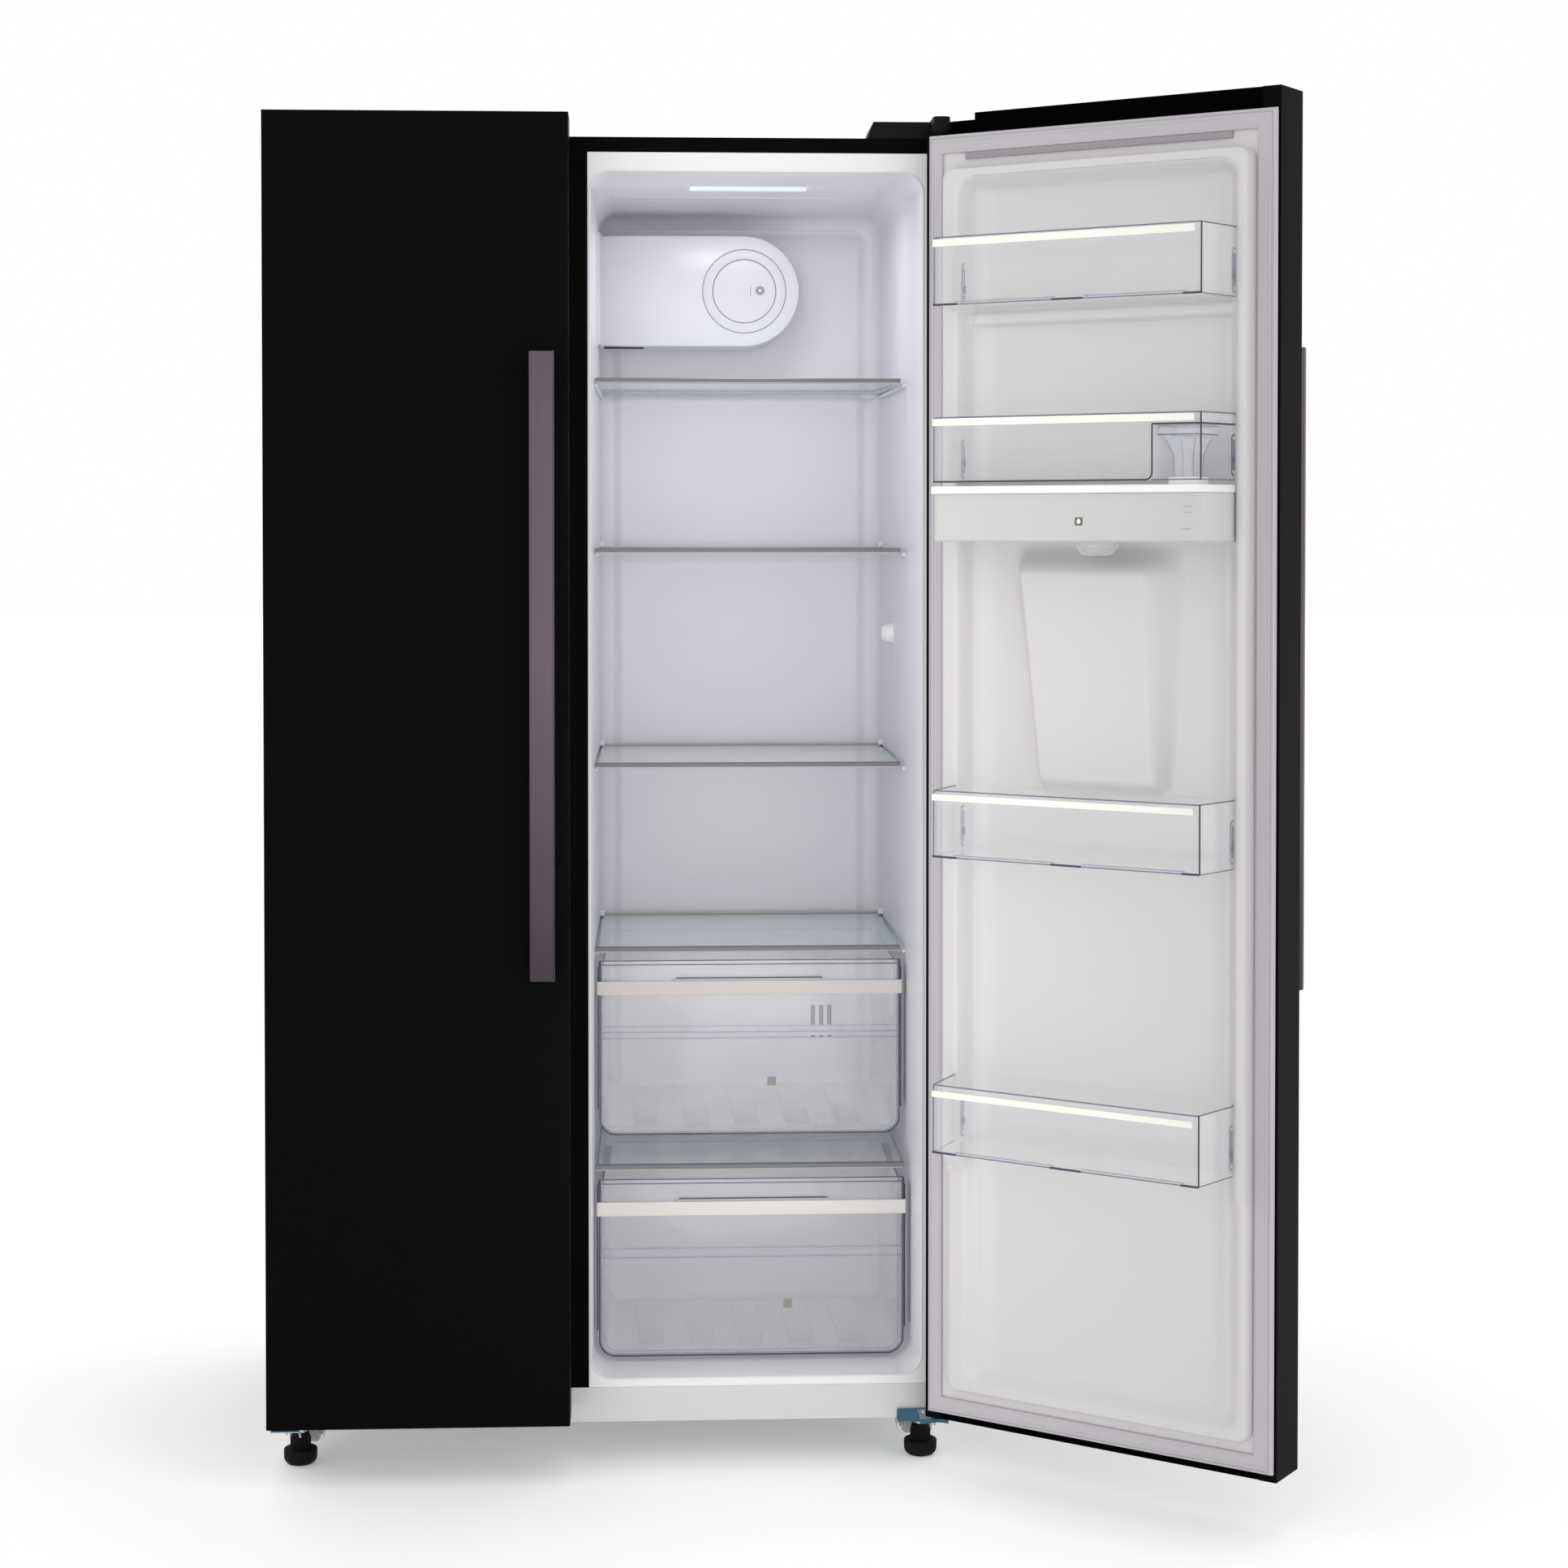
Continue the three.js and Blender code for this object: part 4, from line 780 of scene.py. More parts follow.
def crisper(name, front, back, z0, z1, trim, trim_look, grip, steps, pads, pad_front, pad_back, emblem):
    x0, x1 = 436.8, 857.4
    parts = {}
    parts["front"] = slab("y", lambda i: rounded(x0 + i, x1 - i, z0 + i, z1 - i, [23 - i, 23 - i, 1.5,
        1.5]), front, front + 3, 1.0)
    section = lambda y, d: ring("y", u_outline(x0 + 4 + d, x1 - 4 - d, z0 + 3, z1 - 6, 21, 2.4), y)
    parts["tub"] = loft([section(front + 3.2, 0), section(back, 6)])
    parts["rear"] = slab("y", lambda i: rounded(x0 + 10 + i, x1 - 10 - i, z0 + 4 + i, z1 - 6 - i,
        [20 - i, 20 - i, 1.5, 1.5]), back - 2.6, back, 0.8)
    shell = join(parts["front"], parts["tub"], parts["rear"])
    piece(f"{name}_shell", shell, "crisper_plastic", name, angle=40, replaces=[name],
        slot="clear_plastic")
    edge = [(-1.1, -1.3), (1.1, -1.3), (1.1, 1.5), (-1.1, 1.5)]
    piece(f"{name}_outline", sweep(u_path(x0 + 1.3, x1 - 1.3, z0 + 1.4, z1, 22, front + 0.6), edge,
        up=(0, 1, 0)), "crisper_edge", name, bevel=0.5, angle=50)
    inner = [(-0.7, -0.5), (0.7, -0.5), (0.7, 0.5), (-0.7, 0.5)]
    piece(f"{name}_inner_line", sweep(u_path(x0 + 8, x1 - 8, z0 + 7.4, z1 - 8, 18, front + 3.6), inner,
        up=(0, 1, 0)), "crisper_line", name)
    piece(f"{name}_rim_line", sweep(u_path(x0 + 4.2, x1 - 4.2, z0 + 4.2, z1 - 2, 19, front - 0.1), inner,
        up=(0, 1, 0)), "crisper_line", name)
    fins = [box(x, x + 1.6, front + 5, front + 34, z0 + 36, z1 - 12) for x in (x0 - 2.6, x1 + 1.0)]
    piece(f"{name}_side_fins", join(*fins), "crisper_edge", name, bevel=0.5)
    lines = [box(x0 + 1, x1 - 1, front - 0.3, front + 0.8, z1 - 1.2, z1 + 0.2), box(x0 + 3, x1 - 3,
        front - 0.2, front + 0.9, z1 - 7, z1 - 5.8)]
    piece(f"{name}_top_lines", join(*lines), "crisper_edge", name, bevel=0.2, segments=1)
    rear = [box(x0 + 12, x1 - 12, back - 2.8, back + 0.2, z1 - 7.6, z1 - 5.6)]
    sides = [box(x, x + 2.6, front + 4, back - 1, z1 - 7.2, z1 - 5.6) for x in (x0 + 4.4, x1 - 7)]
    piece(f"{name}_rim", join(*rear, *sides), "crisper_line", name, bevel=0.3, segments=1)
    ends = [box(x, x + 3.4, front - 1.4, front + 2.2, trim[1], z1 - 1) for x in (x0 - 0.6, x1 - 2.8)]
    piece(f"{name}_end_caps", join(*ends), "crisper_cap", name, bevel=0.5)
    piece(f"{name}_trim", slab("y", lambda i: rounded(x0 - 2.4 + i, x1 + 2.2 - i, trim[0] + i,
        trim[1] - i, 0.8, 2), front + 0.4, front - 4.2, 0.8), trim_look, name, angle=40)
    lip = [(grip[0] - 9, trim[1] - 0.2), (grip[0] + 1, trim[1] + 3.8), (grip[1] - 1, trim[1] + 3.8),
        (grip[1] + 9, trim[1] - 0.2)]
    piece(f"{name}_grip", prism("y", lip, front - 0.2, front - 3.6), "crisper_grip", name, bevel=0.3)
    piece(f"{name}_grip_line", box(grip[0], grip[1], front - 3.9, front - 0.1, trim[1] + 3.6,
        trim[1] + 4.9), "crisper_cap", name, bevel=0.3)
    for k, (a, b) in enumerate(steps):
        piece(f"{name}_step_{k + 1}", box(x0 + 3, x1 - 3, front - 0.25, front + 0.6, a, b),
            "crisper_line", name, bevel=0.2, segments=1)
    pad_shapes = [slab("z", lambda i, a=a, b=b: [(a + i, pad_front + i), (b - i, pad_front + i),
        (b - 5 - i, pad_back - i), (a - 5 + i, pad_back - i)],
                       z0 + 5.5, z0 + 9, 1.4, 3) for a, b in pads]
    piece(f"{name}_floor_pads", join(*pad_shapes), "crisper_pad", name, angle=50)
    ex, ez = emblem
    tile = slab("y", lambda i: rounded(ex - 6 + i, ex + 6 - i, ez - 6 + i, ez + 6 - i, 1.4, 3),
        front - 0.1, front - 0.35, 0.1, 1)
    leaf = [(ex + 4.2 * math.sin(a) * (0.45 + 0.4 * math.cos(a)),
        ez + 4.2 * math.cos(a) - 0.3) for a in (i / 20 * 2 * math.pi for i in range(20))]
    piece(f"{name}_emblem", tile, "pictogram", name)
    piece(f"{name}_emblem_leaf", prism("y", leaf, front - 0.3, front - 0.5), "crisper_line", name)


upper_pads = [(486, 520), (557.5, 591.5), (627.5, 662), (700, 735.5), (772.5, 807)]
crisper("upper_crisper", 205, 555, 424, 669, (621, 640), "crisper_trim", (544, 748), [(558.6, 560.2),
    (566.8, 568.4), (575.6, 576.4)],
        upper_pads, 262, 505, (677.6, 498.4))
lower_pads = [(492, 526), (563, 597), (631, 665), (702, 736), (771, 808)]
# the lower crisper's trim takes the lighter, painted-light tone of the trim plastic
crisper("lower_crisper", 142, 416, 131, 376.6, (326.5, 345.5), "crisper_trim_low", (547, 752),
    [(267, 268.6), (279.8, 281.2)],
        lower_pads, 193, 395, (697, 202.4))


# ------------------------------------------------------------------ right door bins

def tray_path(z, front=180, inset=0.0, right=449.5):
    """Around an open tray, from its left seat over the front to its right seat."""
    left = 72.5
    a = [(left - 10 + inset, 101, z)]
    c1 = [(left + 1.5 + inset + 6 + x, front - inset - 6 + y, z) for x, y in arc((0, 0), 6, 180, 90, 4)]
    c2 = [(right - 0.5 - inset - 6 + x, front - inset - 6 + y, z) for x, y in arc((0, 0), 6, 90, 0, 4)]
    return a + c1 + c2 + [(right + 9 - inset, 101, z)]


def slot_marks(z, front, spans, look, name, body, at, depth=0.5, tall=1.3):
    marks = [box(a, b, front - 0.2, front + depth, z, z + tall) for a, b in spans]
    piece(name, join(*marks), look, body, at, bevel=0.25, segments=1)


def bin_trim(n, z0, z1, t0, t1, end=441.8):
    body, at = "right_door", RIGHT
    piece(f"bin_trim_{n}", slab("y", lambda i: [(73.9 + i, t0 + i), (end - i, t0 + i), (end - 1.2 - i,
        t1 - i), (73.9 + i, t1 - i)], 179.6, 182.2, 0.6, 2),
          "bin_trim", body, at)
    piece(f"bin_rim_{n}", tube(tray_path(z1 + 0.2), 1.0, 6), "clear_edge", body, at, angle=60)
    piece(f"bin_corner_{n}", tube([(449.0, 178.8, z0 + 0.5), (449.0, 178.8, z1 + 0.6)], 1.1, 8,
        up=(1, 0, 0)), "crisper_cap", body, at, angle=60)
    piece(f"bin_corner_left_{n}", tube([(74.6, 178.6, z0 + 1), (74.6, 178.6, z1)], 0.9, 8, up=(1, 0, 0)),
        "clear_edge", body, at, angle=60)
    # the back edges of the end walls, rounded over at the top
    for k, (u, y, r) in enumerate(((72.9, 76.5, 7), (450.2, 76.5, 7))):
        hook = [(u, y, z0 + 3), (u, y, z1 - r)] + [(u, y + r - r * math.cos(a),
            z1 - r + r * math.sin(a)) for a in (0.4, 0.8, 1.2, 1.57)]
        hook += [((62.9 if k == 0 else 458.2), 101, z1)]
        piece(f"bin_back_edge_{n}_{k + 1}", tube(hook, 0.9, 6, up=(1, 0, 0)), "clear_edge", body, at,
            angle=60)
    # hooks that grip the liner: a looped rib and a round boss each end
    for k, (u, ya, yb) in enumerate(((71.2, 84, 99), (453.4, 84, 98))):
        lo, hi = z0 + 7, z1 - 26
        loop = [(u, ya, lo + 3), (u, ya, hi - 3), (u, ya + 3, hi), (u, yb - 3, hi), (u, yb, hi - 3),
            (u, yb, lo + 3), (u, yb - 3, lo), (u, ya + 3, lo)]
        piece(f"bin_hook_{n}_{k + 1}", tube(loop, 0.8, 6, up=(1, 0, 0), closed=True),
            "clear_edge" if k else "crisper_line", body, at, angle=60)
        clip = slab("x", lambda i: rounded(ya + 2 + i, yb - 4 - i, lo + 6 + i, hi - 6 - i, 1.5, 3),
            u - 0.8, u + 0.8, 0.3, 1)
        piece(f"bin_clip_{n}_{k + 1}", clip, "crisper_line", body, at, angle=50)
        boss = lathe("x", ((ya + yb) / 2, lo + 20), [(0, u - 1.6), (4.6, u - 1.6), (5.2, u - 1),
            (5.2, u + 1), (4.6, u + 1.6), (0, u + 1.6)], 20)
        piece(f"bin_boss_{n}_{k + 1}", boss, "crisper_line", body, at, angle=50)


BINS = [(1557, 1644, 1632.4, 1642), (1330, 1413, 1402.6, 1412), (847, 933, 920.6, 929), (464, 552, 536.8,
    545)]
for n, (z0, z1, t0, t1) in enumerate(BINS, 1):
    bin_trim(n, z0, z1, t0, t1)
    if n != 2:
        piece(f"bin_foot_{n}", tube(tray_path(z0 + 0.7), 0.75, 6), "clear_edge", "right_door", RIGHT,
            angle=60)
        slot_marks(z0 - 0.2, 180.2, [(73.9, 109.4), (245.2, 288.3), (425.6, 449)], "crisper_cap",
            f"bin_dark_ribs_{n}", "right_door", RIGHT, depth=1.2, tall=2.6)
        slot_marks(z0 + 3.2, 180.0, [(106.7, 250.4), (289.3, 430.5)], "crisper_line", f"bin_slots_{n}",
            "right_door", RIGHT, tall=1.4)
        slot_marks(z0 + 0.8, 180.0, [(109, 246), (288, 426)], "crisper_line", f"bin_lower_lines_{n}",
            "right_door", RIGHT, tall=0.9)
# bin 2 is notched over the tank's filler
front2 = [(74.4, 180, 1331), (376, 180, 1331), (380.5, 180, 1332.6), (383.4, 180, 1336.4),
    (384, 180, 1341), (384, 180, 1399)]
piece("bin_notch_edge", tube(front2, 1.1, 8, up=(0, 1, 0)), "crisper_cap", "right_door", RIGHT, angle=60)
piece("bin_notch_rim", tube([(384, 180.2, 1399.5)] + tray_path(1399.5)[6:], 1.2, 8), "crisper_cap",
    "right_door", RIGHT, angle=60)
piece("bin_guard_foot", tube([(384, 180.0, 1331)] + tray_path(1331)[6:], 1.0, 8), "clear_edge",
    "right_door", RIGHT, angle=60)
piece("bin_notch_end", box(382.4, 384.4, 104, 178, 1333, 1399), "crisper_plastic", "right_door", RIGHT,
    bevel=0.5)


# ------------------------------------------------------------------ water tank
def drop_outline(x, z, half, high):
    """A water drop, round below and drawn out above."""
    out = []
    for a in (i / 18 * 2 * math.pi for i in range(18)):
        narrow = 1 - 0.45 * max(0, math.cos(a)) ** 2
        reach = half if math.cos(a) < 0 else high
        out.append((x + half * math.sin(a) * narrow, z + reach * math.cos(a)))
    return out


FILLER_AT = (416, 144)
NOZZLE_AT = (282, 127)


def filler():
    """A square hopper box, a funnel and a square neck, as one thin shell."""
    def sq(cx, cy, hx, hy, r, z):
        return ring("z", rounded(cx - hx, cx + hx, cy - hy, cy + hy, r, 5), z)
    cx, cy = FILLER_AT
    out = [sq(cx, cy, 27, 31, 3, 1397), sq(cx, cy, 27, 31, 3, 1386.6), sq(cx, cy, 24, 27, 4, 1385),
        sq(cx, cy, 22.5, 25, 6, 1382), sq(cx, cy, 15, 15, 5, 1361),
           sq(cx, cy, 14.4, 14.4, 5, 1325.6)]
    inn = [sq(cx, cy, 13, 13, 4, 1325.6), sq(cx, cy, 13.6, 13.6, 4, 1360.4), sq(cx, cy, 21.3, 23.8, 5,
        1383), sq(cx, cy, 25.6, 29.6, 2.5, 1387.6), sq(cx, cy, 25.6, 29.6, 2.5, 1397)]
    return loft(out + inn, loop=True)


piece("filler_shell", filler(), "filler_plastic", "right_door", RIGHT, angle=40,
    replaces=["water_tank_filler"], slot="clear_plastic")
for k, (z, look) in enumerate(((1397, "crisper_line"), (1386.4, "clear_edge"))):
    loop = [(x, y, z) for x, y in rounded(389.2, 442.8, 113.2, 174.8, 3, 3)]
    piece(f"filler_rim_{k + 1}", tube(loop, 0.8, 6, closed=True), look, "right_door", RIGHT, angle=60)
funnel = []
for sx in (-1, 1):
    for sy in (-1, 1):
        funnel.append(tube([(416 + sx * 20.5, 144 + sy * 23, 1382), (416 + sx * 13.6, 144 + sy * 13.6,
            1361), (416 + sx * 13.2, 144 + sy * 13.2, 1335)], 0.7, 6, up=(0.3, 1, 0)))
piece("filler_edges", join(*funnel), "crisper_line", "right_door", RIGHT, angle=60)
piece("filler_collar", slab("z", lambda i: rounded(FILLER_AT[0] - 20 + i, FILLER_AT[0] + 20 - i,
    FILLER_AT[1] - 20 + i, FILLER_AT[1] + 20 - i, 6), 1325.4, 1334.2, 0.8), "white_plastic", "right_door",
    RIGHT, angle=50)


def tank_outline(z, grow, front):
    path = tray_path(z, front, -grow)
    back = [(449.5 + grow, 75.6, z), (72.5 - grow, 75.6, z)]
    return path + back


piece("tank_lid", loft([tank_outline(z, g, 186) for z, g in ((1315.2, 0.6), (1315.6, 1.2), (1316.6, 1.6),
    (1323.4, 1.6), (1324.6, 1.1), (1325.1, 0.2))]),
      "white_plastic", "right_door", RIGHT, angle=40, replaces=["water_tank_lid"], slot="white_plastic")
piece("tank_level_marks", join(*[box(a, b, 182.0, 182.25, z, z + 0.5) for a, b,
    z in ((425.6, 438.6, 1298), (427.8, 436.5, 1290.3), (425.7, 436.5, 1269.9))]), "pictogram",
    "right_door", RIGHT)
piece("tank_base_edge", tube(tray_path(1254.8, 182), 0.8, 6), "clear_edge_light", "right_door", RIGHT,
    angle=60)
piece("tank_tile", slab("y", lambda i: rounded(279.4 + i, 289.8 - i, 1274.7 + i, 1284.8 - i, 1.2, 3),
    182.0, 182.3, 0.1, 1), "pictogram_dark", "right_door", RIGHT)
drop = drop_outline(284.6, 1279.4, 2.7, 4.2)
piece("tank_drop", prism("y", drop, 182.2, 182.45), "bin_trim", "right_door", RIGHT)
nozzle = [(0, 1236.4), (15, 1236.6), (20, 1238.2), (23, 1241), (24, 1244.6), (27, 1245.4), (28, 1247),
    (28, 1251.4), (27, 1253.8), (0, 1253.8)]
piece("tank_nozzle", lathe("z", NOZZLE_AT, nozzle, 40), "nozzle_plastic", "right_door", RIGHT, angle=45)
piece("tank_nozzle_ring", lathe("z", NOZZLE_AT, [(10, 1235.6), (12, 1235.4), (12.6, 1236.2), (12.6, 1239),
    (10, 1239)], 32), "crisper_line", "right_door", RIGHT)


# ------------------------------------------------------------------ water dispenser on the door's outside
def niche_outline(y, inset):
    """The recess at a depth: wide at the door's front, leaning to the hinge side towards its back."""
    t = max(0.0, min(1.0, (y + 1) / 93))
    mix = lambda a, b: a + (b - a) * t
    left_top, right_top, left_low, right_low = mix(167.6, 163), mix(388.4, 322), mix(198.6,
        195), mix(357.4, 341)
    top, bottom = mix(1240.4, 1206), mix(941.6, 944)
    corners = [(left_low, bottom, 16), (right_low, bottom, 16), (right_top, top, 20), (left_top, top, 20)]
    out = []
    for k, (x, z, r) in enumerate(corners):
        c = Vector((x, z))
        before, after = Vector(corners[k - 1][:2]) - c, Vector(corners[(k + 1) % 4][:2]) - c
        a, b = c + before.normalized() * r, c + after.normalized() * r
        for i in range(7):
            s = i / 6
            out.append(a * (1 - s) ** 2 + c * 2 * s * (1 - s) + b * s * s)
    cx, cz = (left_top + right_top) / 2, (top + bottom) / 2
    return [(cx + (p.x - cx) * (1 - inset / 100), cz + (p.y - cz) * (1 - inset / 150)) for p in out]


def dispenser_shell():
    outside = [ring("y", niche_outline(y, 0), y) for y in (92, 60, 30, -0.3)]
    inside = [ring("y", niche_outline(y, 2.2), y) for y in (-3.2, 4, 30, 60, 86, 89.5)]
    lip = [ring("y", niche_outline(0, -2.4), -4.2), ring("y", niche_outline(0, 0.4), -4.4)]
    return loft(outside + lip + inside)


bezel_rings = [ring("y", rounded(152 + g, 404 - g, 920 + g, 1330 - g, 14, 6), y) for y, g in ((-0.3, 0),
    (-2.6, 0), (-3.7, 0.5), (-4.0, 1.4))]
bezel_hole = [ring("y", niche_outline(0, -1.8), y) for y in (-4.0, -0.3)]


def bridge(outer, inner):
    """Joins two outlines of different counts in one plane into a flat frame."""
    verts = outer + inner
    n, m = len(outer), len(inner)
    faces, i, j = [], 0, 0
    ang = lambda p: math.atan2(p[2] - 1100, p[0] - 278)
    start = min(range(m), key=lambda k: abs(ang(inner[k]) - ang(outer[0])))
    while i < n or j < m:
        a0, a1 = outer[i % n], outer[(i + 1) % n]
        b0, b1 = inner[(start + j) % m], inner[(start + j + 1) % m]
        da = (Vector(a1) - Vector(b0)).length if i < n else 1e9
        db = (Vector(b1) - Vector(a0)).length if j < m else 1e9
        if da < db:
            faces.append((i % n, (i + 1) % n, n + (start + j) % m))
            i += 1
        else:
            faces.append((i % n, n + (start + j + 1) % m, n + (start + j) % m))
            j += 1
    return verts, faces


bezel_wall = loft(bezel_rings, cap=False)
hole_wall = loft(bezel_hole, cap=False)
piece("dispenser_bezel", join(bezel_wall, hole_wall, bridge(bezel_rings[-1], bezel_hole[0]),
    bridge(bezel_rings[0], bezel_hole[1])),
      "black_plastic", "right_door", RIGHT, angle=40)
piece("dispenser_recess", dispenser_shell(), "black_plastic", "right_door", RIGHT, angle=35,
    replaces=["dispenser_housing"], slot="black_plastic")
piece("dispenser_panel", slab("y", lambda i: rounded(170 + i, 386 - i, 1258 + i, 1316 - i, 8), -3.9, -4.6,
    0.4), "panel_gloss", "right_door", RIGHT, angle=40)
icons = []
for k, x in enumerate((206, 254, 302, 350)):
    ring_out = circle(9, 28)
    ring_in = circle(8.1, 28)
    icons.append(loft([[(x + a, -4.55, 1288 + b) for a, b in ring_out], [(x + a, -4.8, 1288 + b) for a,
        b in ring_out],
                       [(x + a, -4.8, 1288 + b) for a, b in ring_in], [(x + a, -4.55, 1288 + b) for a,
                           b in ring_in]], loop=True))
    if k == 0:
        icons.append(prism("y", drop_outline(x, 1286.6, 3.2, 5), -4.55, -4.8))
    elif k == 1:
        icons += [prism("y", [(x + c * 5 - d * 0.6, 1288 + e * 5 - f * 0.6), (x + c * 5 + d * 0.6,
            1288 + e * 5 + f * 0.6), (x - c * 5 + d * 0.6, 1288 - e * 5 + f * 0.6), (x - c * 5 - d * 0.6,
            1288 - e * 5 - f * 0.6)], -4.55, -4.8)
                  for c, e, d, f in ((math.cos(t), math.sin(t), -math.sin(t), math.cos(t)) for t in (0.0,
                      math.pi / 3, 2 * math.pi / 3))]
    elif k == 2:
        icons.append(prism("y", rounded(x - 4, x + 4, 1284, 1290, 1, 2), -4.55, -4.8))
        icons.append(loft([[(x + a * q, y, 1290 + max(b, 0) * q * 1.3) for a, b in circle(3,
            16)[:9]] for q, y in ((1, -4.55), (1, -4.8), (0.7, -4.8), (0.7, -4.55))], loop=True))
    else:
        icons += [prism("y", rounded(x - 4.5 + j * 3.4, x - 2.5 + j * 3.4, 1284, 1286.5 + j * 2.6, 0.5,
            2), -4.55, -4.8) for j in range(3)]
piece("dispenser_icons", join(*icons), "panel_mark", "right_door", RIGHT)
piece("dispenser_spout", lathe("z", (278, 45), [(0, 1238), (12, 1238), (12, 1214), (10.4, 1211),
    (8, 1205), (5.6, 1203.6), (4.6, 1205), (4.6, 1214), (0, 1214)], 28), "black_plastic", "right_door",
    RIGHT)


# ------------------------------------------------------------------ feet
FOOT_X = {"left": 32, "right": 878}
FOOT_Y = 115


def ribbed_cup(cx, cy):
    rings = []
    for r, z, rib in ((1, 0.2, 0), (13, 0.2, 0), (17.5, 1.2, 0), (21.2, 5, 0.5), (22.4, 9, 0.7),
        (22.7, 19, 0.7), (22.2, 20.6, 0.3), (20.8, 21.3, 0), (14.5, 21.4, 0)):
        rings.append([(cx + (r + rib * (math.cos(30 * a) - 1) / 2) * math.cos(a),
            cy + (r + rib * (math.cos(30 * a) - 1) / 2) * math.sin(a), z)
                      for a in (2 * math.pi * i / 120 for i in range(120))])
    return loft(rings)


for side, x in FOOT_X.items():
    body = f"levelling_foot_{side}"
    piece(f"foot_cup_{side}", ribbed_cup(x, FOOT_Y), "foot_rubber", body, CAB, angle=50, replaces=[body],
        slot="foot_rubber")
    rings = []
    for r, z, rib in ((13.4, 21, 0.5), (13.6, 34, 0.5), (12.6, 38, 0.3), (11.4, 42, 0.0), (1, 42, 0)):
        rings.append([(x + (r + rib * math.cos(24 * a)) * math.cos(a),
            FOOT_Y + (r + rib * math.cos(24 * a)) * math.sin(a),
            z) for a in (2 * math.pi * i / 96 for i in range(96))])
    piece(f"foot_collar_{side}", loft(rings), "foot_rubber", body, CAB, angle=50)
    thread = []
    for k in range(30):
        z = 42 + k * 0.6
        thread.append([(x + (4.1 + 0.55 * (k % 2)) * math.cos(a),
            FOOT_Y + (4.1 + 0.55 * (k % 2)) * math.sin(a),
            z) for a in (2 * math.pi * i / 24 for i in range(24))])
    piece(f"foot_stud_{side}", loft(thread), "screw", body, CAB, angle=60)
    piece(f"foot_nut_{side}", lathe("z", (x, FOOT_Y), [(0, 42.4), (8.5, 42.4), (9, 43), (9, 47.4),
        (8.5, 48), (0, 48)], 6), "screw", "cabinet", CAB, bevel=0.4)


def pan_head(cx, cy, z, r=5.5, h=2.8):
    dome = [(0, z + h)] + [(r * math.sin(a), z + h * math.cos(a)) for a in (0.5, 0.9, 1.25, 1.5)] + [(r,
        z - 0.3), (0, z - 0.3)]
    return lathe("z", (cx, cy), dome, 24)


def film_wrap(corners, waves, seed):
    """Protective film left on the bracket: a slightly slack sheet between four corners."""
    a, b, c, d = [Vector(q) for q in corners]
    across = (b - a).cross(d - a).normalized()
    count = 20
    rows = []
    for i in range(count + 1):
        for j in range(count + 1):
            s, t = i / count, j / count
            p = a * (1 - s) * (1 - t) + b * s * (1 - t) + c * s * t + d * (1 - s) * t
            slack = math.sin(7 * s + seed) * math.cos(5 * t + 2 * seed)
            drop = 1.2 * t * t * math.sin(6 * s + seed)
            rows.append(tuple(p + across * (slack * waves) - Vector((0, 0, drop))))
    faces = [(i * (count + 1) + j, i * (count + 1) + j + 1, (i + 1) * (count + 1) + j + 1,
        (i + 1) * (count + 1) + j)
             for i in range(count) for j in range(count)]
    return rows, faces


FILM_FACE = [(2, 75.4, 74.4), (66.5, 75.4, 74.4), (66.5, 75.2, 55.5), (2, 75.2, 56)]
FILM_SIDE = [(67.4, 75.4, 74), (67.4, 108, 64), (67, 102, 48), (67.2, 76, 46)]
FILM_FRONT = [(2.4, 25.6, 74.6), (41, 25.6, 74.6), (41, 25.8, 69.4), (2.4, 25.8, 68.6)]
for side, mirror, sheets in (("left", lambda x: x, (FILM_SIDE,)),
                             ("right", lambda x: WIDTH - x, (FILM_FACE, FILM_SIDE, FILM_FRONT))):
    for k, corners in enumerate(sheets):
        points = [(mirror(x), y, z) for x, y, z in corners]
        piece(f"film_wrap_{side}_{k + 1}", film_wrap(points, 0.4, 1.3 * k), "film", "cabinet", angle=60,
            thick=0.3)
    for k, (x, y) in enumerate(((14, 52), (32, 60))):
        piece(f"bracket_screw_{side}_{k + 1}", pan_head(mirror(x), y, 74.2, 5, 2.4), "screw", "cabinet",
            angle=50)
    fold = [(mirror(3), 26.0, 70.0), (mirror(40.5), 26.0, 70.0), (mirror(42), 26.0, 66),
        (mirror(42), 26.0, 62.5)]
    if side == "left":
        piece("bracket_fold_left", tube(fold, 1.4, 8, up=(0, 1, 0)), "zinc_steel", "cabinet", angle=60)
# skirt that hides the top hinge arm under its cover
for side, mirror in (("left", lambda x: x), ("right", lambda x: WIDTH - x)):
    nose = [(12.75 + 10.65 * math.cos(a),
        36.75 + 10.0 * math.sin(a)) for a in (math.pi * (1 + i / 16) for i in range(17))]
    path = [(mirror(x), y, 1798.8) for x, y in [(2.1, 80)] + nose + [(23.4, 80)]]
    piece(f"hinge_arm_skirt_{side}", sweep(path, [(-0.5, -2.4), (0.5, -2.4), (0.5, 2.4), (-0.5, 2.4)]),
        "black_plastic", "cabinet", angle=50)
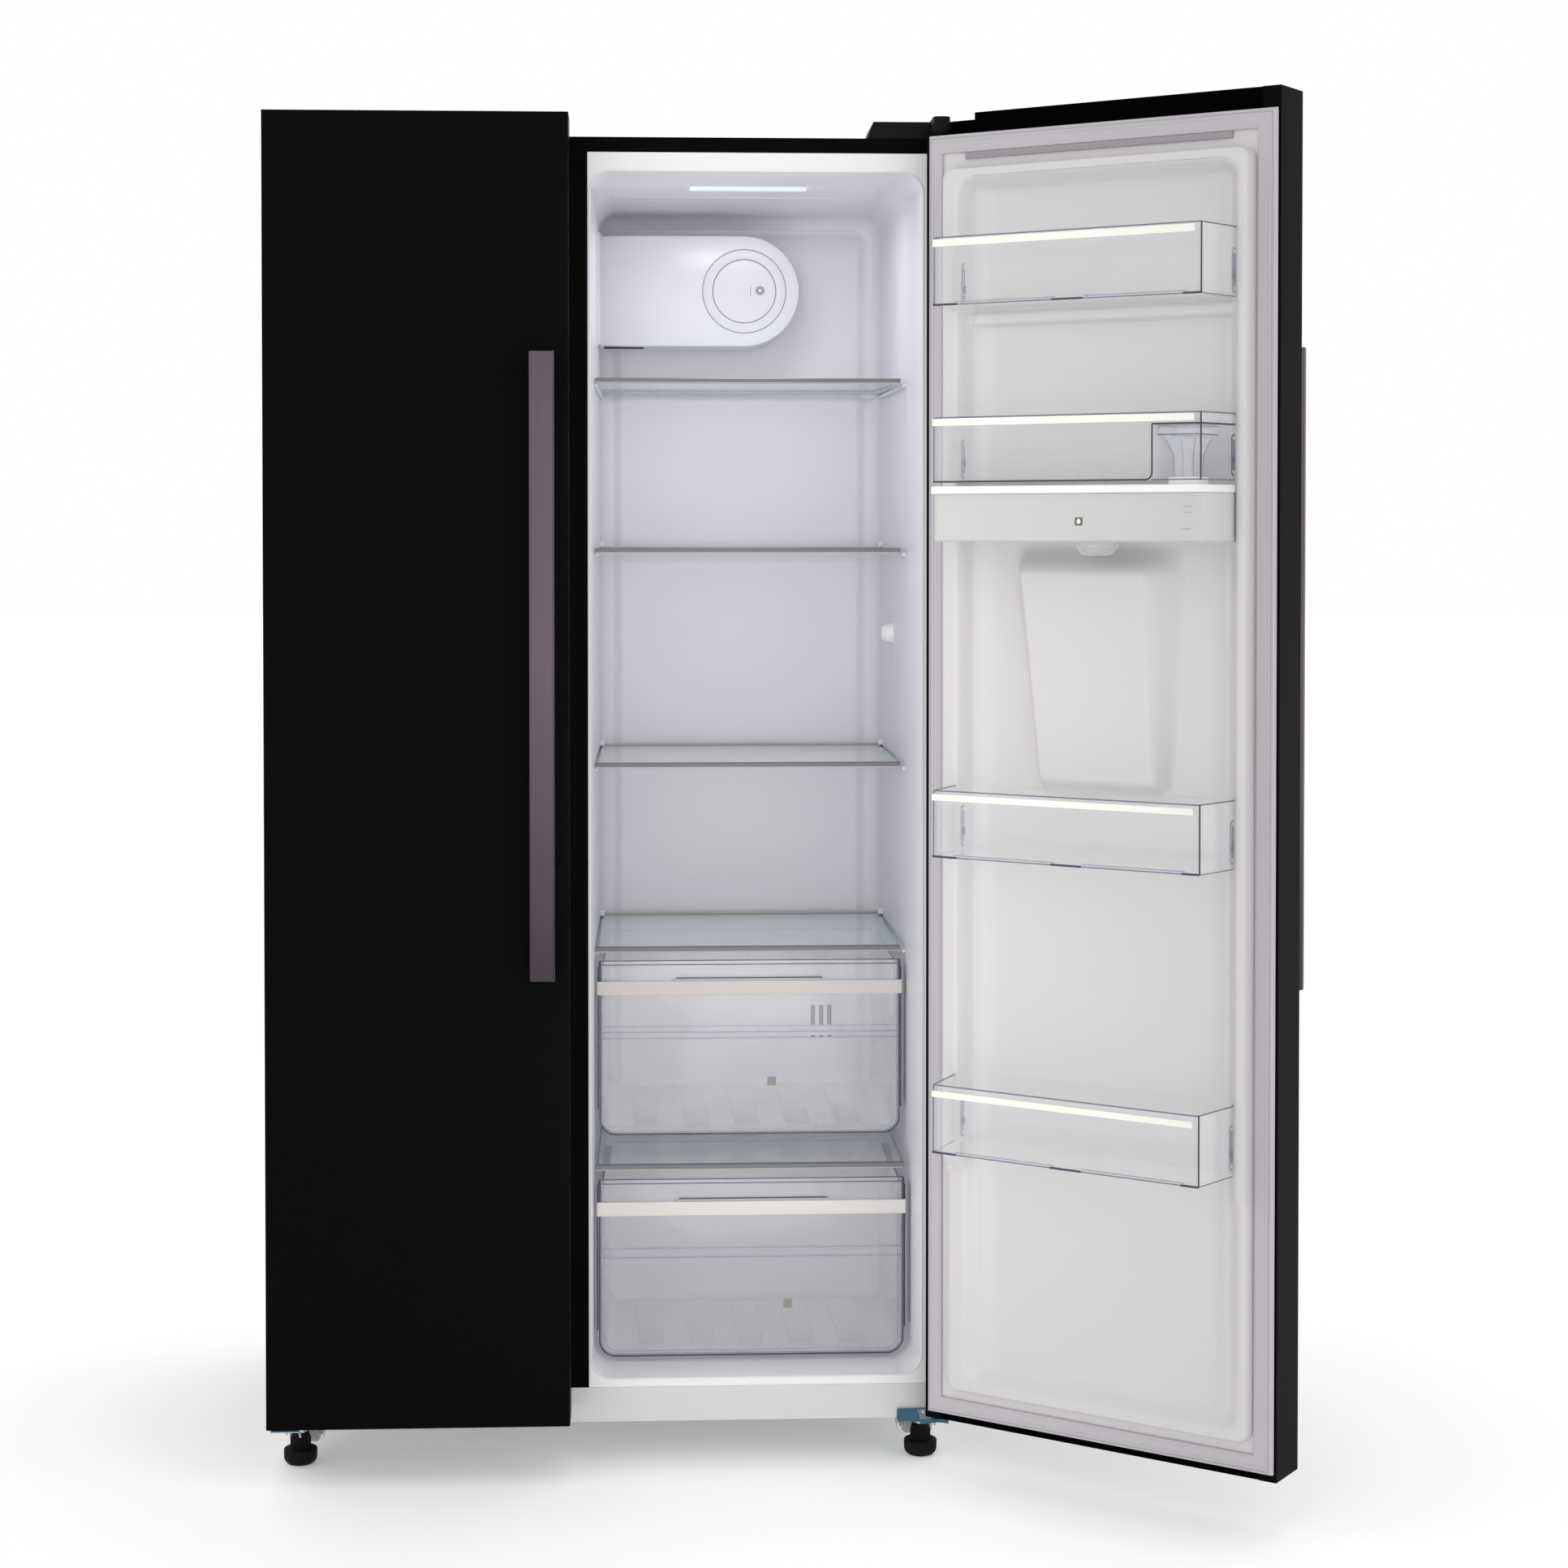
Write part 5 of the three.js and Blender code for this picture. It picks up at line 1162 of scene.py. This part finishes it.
# the plate under the open door's hinge end, guessed to be its closing cam
cam = [(20, 14), (36, 10), (62, 16), (66, 30), (58, 50), (38, 58), (20, 52)]
piece("door_closing_cam", slab("z", lambda i: [(42 + (u - 42) * (1 - i / 30),
    34 + (y - 34) * (1 - i / 30)) for u, y in cam],
                               77.2, 79.7, 0.8), "grey_foam", "right_door", RIGHT, angle=40)


# ------------------------------------------------------------------ camera, light, floor
camera = bpy.data.objects.new("camera", bpy.data.cameras.new("camera"))
bpy.context.scene.collection.objects.link(camera)
bpy.context.scene.camera = camera
camera.location = CAB @ Vector((502.9, -3816.7, 1267.3))
camera.rotation_euler = (math.radians(90 - 1.243), 0, math.radians(-2.732))
camera.data.lens = 66.31
camera.data.sensor_width = 36
camera.data.shift_y = -0.1211


def area_light(name, at, towards, size, power, color=(1, 1, 1)):
    lamp = bpy.data.lights.new(name, "AREA")
    lamp.shape = "RECTANGLE"
    lamp.size, lamp.size_y = size
    lamp.energy = power
    lamp.color = color
    o = bpy.data.objects.new(name, lamp)
    bpy.context.scene.collection.objects.link(o)
    o.location = at
    o.rotation_euler = (Vector(towards) - Vector(at)).to_track_quat("-Z", "Y").to_euler()
    return o


world = bpy.data.worlds.new("studio")
bpy.context.scene.world = world
world.use_nodes = True
world.node_tree.nodes["Background"].inputs["Color"].default_value = (1, 1, 1, 1)
world.node_tree.nodes["Background"].inputs["Strength"].default_value = 1.0
bpy.context.scene.view_settings.view_transform = "Standard"
bpy.context.scene.cycles.transparent_max_bounces = 40

front = CAB @ Vector((652, -600, 935))
cavity = area_light("cavity_fill", front, front + Vector((0, 1, 0)), (0.45, 1.6), 1.42)
cavity.data.spread = math.radians(130)
led = CAB @ Vector((646, 234, 1741))
area_light("lamp_light", led, led + Vector((0, 0.1, -1)), (0.16, 0.024), 0.65, (0.92, 0.97, 1.0))

floor_mesh = bpy.data.meshes.new("floor")
floor_mesh.from_pydata([(-40, -40, 0), (40, -40, 0), (40, 40, 0), (-40, 40, 0)], [], [(0, 1, 2, 3)])
floor = bpy.data.objects.new("floor", floor_mesh)
bpy.context.scene.collection.objects.link(floor)
floor_mesh.materials.append(MATS["floor_paper"])
